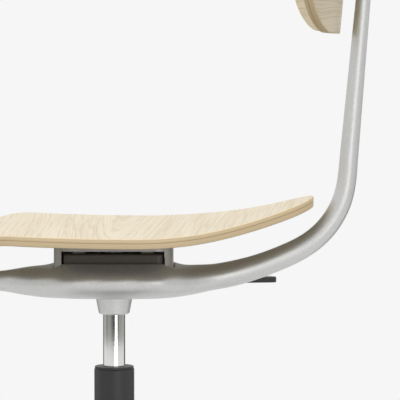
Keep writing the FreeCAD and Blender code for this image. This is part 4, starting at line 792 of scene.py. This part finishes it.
def saddle_ends(place):
    """1 on the upper side of the spine where the saddle runs out into the tube."""
    reach = abs(place.y)
    return slope(reach, *ENDS_START) * fade(reach, *ENDS_STOP) * slope(place.z, *ENDS_HEIGHT)


def saddle_belly(place):
    """1 round the saddle's widest line."""
    return fade(abs(place.y), *BELLY_ALONG) * fade(place.z, *BELLY_HEIGHT)


def nose_root(place):
    """1 where the saddle runs out into the rounded nose in front."""
    return slope(-place.y, *NOSE_START) * slope(place.y, *NOSE_TIP)


lower_ends(spine)
ease_more(spine, saddle_ends, ENDS_PASSES)
lift_belly(spine)
ease_more(spine, saddle_belly, BELLY_PASSES)
ease_more(spine, nose_root, NOSE_PASSES)
print("spine sanded:", len(spine.data.vertices), "points")

# %% [markdown]
# The cup that takes the column stands out from the belly of the spine with a crisp line round it. Smoothing
# would fill that line, so the spine was cut off flat above the cup, and the cup is turned as a piece of its
# own: a profile swept round the column's axis.

# %% Socket cup
CUP_FOOT, CUP_HEAD, CUP_ROUND = 361.3 * MM, 386 * MM, 2.8 * MM
CUP_FOOT_RADIUS, CUP_HEAD_RADIUS, CUP_BORE = 19.5 * MM, 23.8 * MM, 14.4 * MM
CUP_STEPS, CUP_ROUND_STEPS, CUP_CREASE = 96, 6, radians(35)


def turned_piece(name, profile, steps, body, finish):
    """A closed profile of (radius, height) points swept round the vertical axis."""
    mesh = bmesh.new()
    rows = []
    for step in range(steps):
        turn = 2 * pi * step / steps
        rows.append([mesh.verts.new((r * cos(turn), r * sin(turn), z)) for r, z in profile])
    for row, following in zip(rows, rows[1:] + rows[:1]):
        for k in range(len(profile)):
            mesh.faces.new((row[k - 1], row[k], following[k], following[k - 1])).smooth = True
    bmesh.ops.recalc_face_normals(mesh, faces=mesh.faces)
    data = bpy.data.meshes.new(name)
    mesh.to_mesh(data)
    mesh.free()
    data.set_sharp_from_angle(angle=CUP_CREASE)
    data.materials.append(finish)
    piece = bpy.data.objects.new(name, data)
    bpy.context.scene.collection.objects.link(piece)
    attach(piece, body)
    print(name, len(data.polygons), "faces")


round_middle = (CUP_FOOT_RADIUS - CUP_ROUND, CUP_FOOT + CUP_ROUND)
cup_profile = [(CUP_BORE, CUP_HEAD), (CUP_BORE, CUP_FOOT)]
cup_profile += arc(round_middle, CUP_ROUND, -90, 0, CUP_ROUND_STEPS) + [(CUP_HEAD_RADIUS, CUP_HEAD)]
turned_piece("socket_cup", cup_profile, CUP_STEPS, "upper", silver_paint)

# %% [markdown]
# Every other solid keeps its shape, but a real edge is never a knife. A chain of modifiers breaks the
# edges: the first joins the faces of the solid, the second merges flat triangles, the third rolls a small
# bevel along every corner, and the last evens the shading. How wide the bevel is depends on how the piece
# is made: wide on castings, narrow on turned steel.

# %% Broken edges
EDGE_BREAK_MM = {
    "carrier_grey": 0.9, "block_dark": 0.8, "back_silver": 0.9, "lever_black": 0.6, "grip_black": 1.5,
    "column_black": 0.7, "bush_black": 0.5, "castor_black": 0.8, "wheel_black": 0.7,
    "steel": 0.25, "rubber_black": 0.5, "rubber_grey": 0.5,
}
FLAT_ANGLE, CORNER_ANGLE = radians(0.5), radians(32)
BEVEL_STEPS, FACE_WEIGHT = 2, 100
eased = 0
for name, solid in frame["nodes"].items():
    width = EDGE_BREAK_MM.get(slot_of[name])
    if not width:
        continue
    join = solid.modifiers.new("join", "WELD")
    join.merge_threshold = WELD_GAP
    flat = solid.modifiers.new("flat", "DECIMATE")
    flat.decimate_type, flat.angle_limit = "DISSOLVE", FLAT_ANGLE
    roll = solid.modifiers.new("roll", "BEVEL")
    roll.width, roll.segments = width * MM, BEVEL_STEPS
    roll.limit_method, roll.angle_limit = "ANGLE", CORNER_ANGLE
    solid.modifiers.new("shade", "WEIGHTED_NORMAL").weight = FACE_WEIGHT
    eased += 1
print("edges broken on", eased, "solids")

# %% [markdown]
# Light is plain studio light. The world is pale and even above and dim below, which suits satin metal. What
# the camera and the reflections see of it is one grey, so the background has no horizon.

# %% World
BACKGROUND_GREY = 0.922
AMBIENT_ABOVE, AMBIENT_BELOW = 0.88, 0.18
AMBIENT_FROM, AMBIENT_TO = 0.35, 0.65
scene = bpy.context.scene
scene.view_settings.view_transform = "Standard"
world = bpy.data.worlds.new("studio")
scene.world = world
world.use_nodes = True
world_tree = world.node_tree
world_tree.nodes.clear()


def shown_to_eye(tree):
    """1 for rays that come from the camera or from a mirror or glass, and 0 for soft light."""
    seen = add_node(tree, "LightPath").outputs
    shown = sums(tree, "MAXIMUM", seen["Is Camera Ray"], seen["Is Glossy Ray"])
    return sums(tree, "MAXIMUM", shown, seen["Is Transmission Ray"])


facing = add_node(world_tree, "TexCoord").outputs["Generated"]
upward = add_node(world_tree, "SeparateXYZ", {0: facing}).outputs["Z"]
upward_share = sums(world_tree, "MULTIPLY_ADD", upward, 0.5, 0.5)
ambient_tone = ramp(world_tree, upward_share, [(AMBIENT_FROM, AMBIENT_BELOW), (AMBIENT_TO, AMBIENT_ABOVE)])
ambient = add_node(world_tree, "Background", {"Color": ambient_tone, "Strength": 1.0}).outputs[0]
plain_grey = (BACKGROUND_GREY, BACKGROUND_GREY, BACKGROUND_GREY, 1.0)
backdrop = add_node(world_tree, "Background", {"Color": plain_grey, "Strength": 1.0}).outputs[0]
picked = add_node(world_tree, "MixShader", {0: shown_to_eye(world_tree), 1: ambient, 2: backdrop}).outputs[0]
world_tree.links.new(picked, world_tree.nodes.new("ShaderNodeOutputWorld").inputs["Surface"])
print("world:", len(world_tree.nodes), "nodes")

# %% [markdown]
# Two large soft lamps shape the chair. One hangs above the seat. The other stands beside the camera, on the
# backrest's side, and draws the long highlight along the upright and the belly of the spine.

# %% Lamps
def soft_lamp(name, place, aim, width, height, power):
    """A flat soft lamp that points at a place."""
    data = bpy.data.lights.new(name, "AREA")
    data.shape, data.size, data.size_y, data.energy = "RECTANGLE", width, height, power
    lamp = bpy.data.objects.new(name, data)
    lamp.location = Vector(place)
    lamp.rotation_euler = (Vector(aim) - lamp.location).to_track_quat("-Z", "Y").to_euler()
    scene.collection.objects.link(lamp)
    print(name, power, "W")


soft_lamp("top_lamp", place=(0.5, -0.2, 2.6), aim=(0.0, 0.05, 0.45), width=1.8, height=1.8, power=12.0)
soft_lamp("side_lamp", place=(2.95, 1.25, 0.75), aim=(0.0, 0.1, 0.45), width=1.9, height=2.1, power=14.0)

# %% [markdown]
# The floor is a disc that fades out into the background and shows only from above. To the eye it is pale,
# and it keeps the chair's shadow. For soft light it is dim, so that the underside of the chair stays dark,
# as in the photograph. In mirrors its middle carries a painted glow, an emission that only reflections see,
# which stands in for a lit sweep of paper.

# %% Floor
FLOOR_RADIUS, FLOOR_STEPS, FLOOR_ROUGHNESS = 1.7, 96, 0.85
FLOOR_PALE, FLOOR_DIM = (0.90, 0.90, 0.90), (0.22, 0.22, 0.22)
FADE_FROM, FADE_TO = 0.30, 0.97
# Painted glow for mirror rays: its grey, and its share in the middle of the floor.
PAINTED_GLOW_GREY, PAINTED_GLOW_SHARE = (0.96, 0.96, 0.96, 1.0), 0.95
GLOW_NEAR, GLOW_FAR = 0.6, 1.0
floor_turns = [2 * pi * k / FLOOR_STEPS for k in range(FLOOR_STEPS)]
floor_rim = [(FLOOR_RADIUS * cos(turn), FLOOR_RADIUS * sin(turn), 0.0) for turn in floor_turns]
floor_mesh = bpy.data.meshes.new("studio_floor")
floor_mesh.from_pydata(floor_rim, [], [list(range(FLOOR_STEPS))])
floor = bpy.data.objects.new("studio_floor", floor_mesh)
scene.collection.objects.link(floor)

floor_finish, floor_tree, floor_shader = new_finish("floor_paint", Roughness=FLOOR_ROUGHNESS)
floor_tone = mixed(floor_tree, shown_to_eye(floor_tree), FLOOR_DIM, FLOOR_PALE)
floor_tree.links.new(floor_tone, floor_shader.inputs["Base Color"])
floor_place = object_place(floor_tree)
from_middle = add_node(floor_tree, "VectorMath", {0: floor_place}, operation="LENGTH").outputs["Value"]
rim_share = sums(floor_tree, "DIVIDE", from_middle, FLOOR_RADIUS)
floor_fade = ramp(floor_tree, rim_share, [(FADE_FROM, 1.0), (FADE_TO, 0.0)])
floor_fade.node.color_ramp.interpolation = "EASE"
from_above = sums(floor_tree, "SUBTRACT", 1.0, add_node(floor_tree, "NewGeometry").outputs["Backfacing"])
floor_tree.links.new(sums(floor_tree, "MULTIPLY", floor_fade, from_above), floor_shader.inputs["Alpha"])
# Painted glow: an emission that only mirror rays see, strongest in the middle and gone towards the rim.
painted_glow = add_node(floor_tree, "Emission", {"Color": PAINTED_GLOW_GREY, "Strength": 1.0}).outputs[0]
painted_glow_falloff = ramp(floor_tree, from_middle, [(GLOW_NEAR, PAINTED_GLOW_SHARE), (GLOW_FAR, 0.0)])
painted_glow_mix = sums(floor_tree, "MULTIPLY", add_node(floor_tree, "LightPath").outputs["Is Glossy Ray"], painted_glow_falloff)
floor_look = add_node(floor_tree, "MixShader", {0: painted_glow_mix, 1: floor_shader.outputs[0], 2: painted_glow}).outputs[0]
floor_tree.links.new(floor_look, floor_tree.nodes["Material Output"].inputs["Surface"])
floor_mesh.materials.append(floor_finish)
print("floor:", len(floor_tree.nodes), "nodes")

# %% [markdown]
# Polished chrome has no colour of its own: it shows the room. In an even white room a chromed tube would
# vanish. Photographers stand low dark and grey boards round the set for that. An upright tube sees only a
# thin belt of the room, so boards as high as a skirting are enough, and they leave the satin spine alone.
# Two of them, behind the chair, lie aslant with their foot drawn in, for whoever looks from higher up. The
# camera itself doesn't see the boards, and they cast no shadow and give no soft light: they are painted
# reflections.

# %% Low boards for the chrome
BOARD_RADIUS, BOARD_HEIGHT, LYING_FOOT = 3.0, 0.34, 0.8
BOARD_TONES = (
    (-38, -24, 0.42), (-24, -14, 0.24), (-14, 11, 0.09), (34, 50, 0.32), (50, 96, 0.60), (96, 118, 0.80),
    (118, 150, 0.12), (-64, -38, 0.58), (-92, -64, 0.47), (-128, -92, 0.80), (-165, -128, 0.18),
)
LYING_BOARDS = (7, 11)
BOARD_STEPS, BOARD_ROUGHNESS, PATCH_WAVES = 8, 0.9, 6.0
PATCH_DIM, PATCH_BRIGHT = (0.85, 0.85, 0.80), (1.15, 1.15, 1.08)
last_point = 2 * BOARD_STEPS + 1
board_faces = [(k, k + 1, last_point - 1 - k, last_point - k) for k in range(BOARD_STEPS)]
for number, (first, last, tone) in enumerate(BOARD_TONES, start=1):
    head = arc((0, 0), BOARD_RADIUS, first, last, BOARD_STEPS)
    foot = arc((0, 0), LYING_FOOT if number in LYING_BOARDS else BOARD_RADIUS, first, last, BOARD_STEPS)
    board_points = [(u, v, 0.0) for u, v in foot] + [(u, v, BOARD_HEIGHT) for u, v in reversed(head)]
    board_mesh = bpy.data.meshes.new(f"low_board_{number}")
    board_mesh.from_pydata(board_points, [], board_faces)
    board_paint, board_tree, board_shader = new_finish(f"board_grey_{number}", Roughness=BOARD_ROUGHNESS)
    patchy = noise(board_tree, object_place(board_tree), PATCH_WAVES)
    dim, bright = [tone * share for share in PATCH_DIM], [tone * share for share in PATCH_BRIGHT]
    board_tree.links.new(mixed(board_tree, patchy, dim, bright), board_shader.inputs["Base Color"])
    board_mesh.materials.append(board_paint)
    board = bpy.data.objects.new(f"low_board_{number}", board_mesh)
    # Painted reflections: only mirror rays see the boards; they cast no shadow and give no soft light.
    board.visible_camera = False
    board.visible_shadow = False
    board.visible_diffuse = False
    scene.collection.objects.link(board)
print("boards:", len(BOARD_TONES))
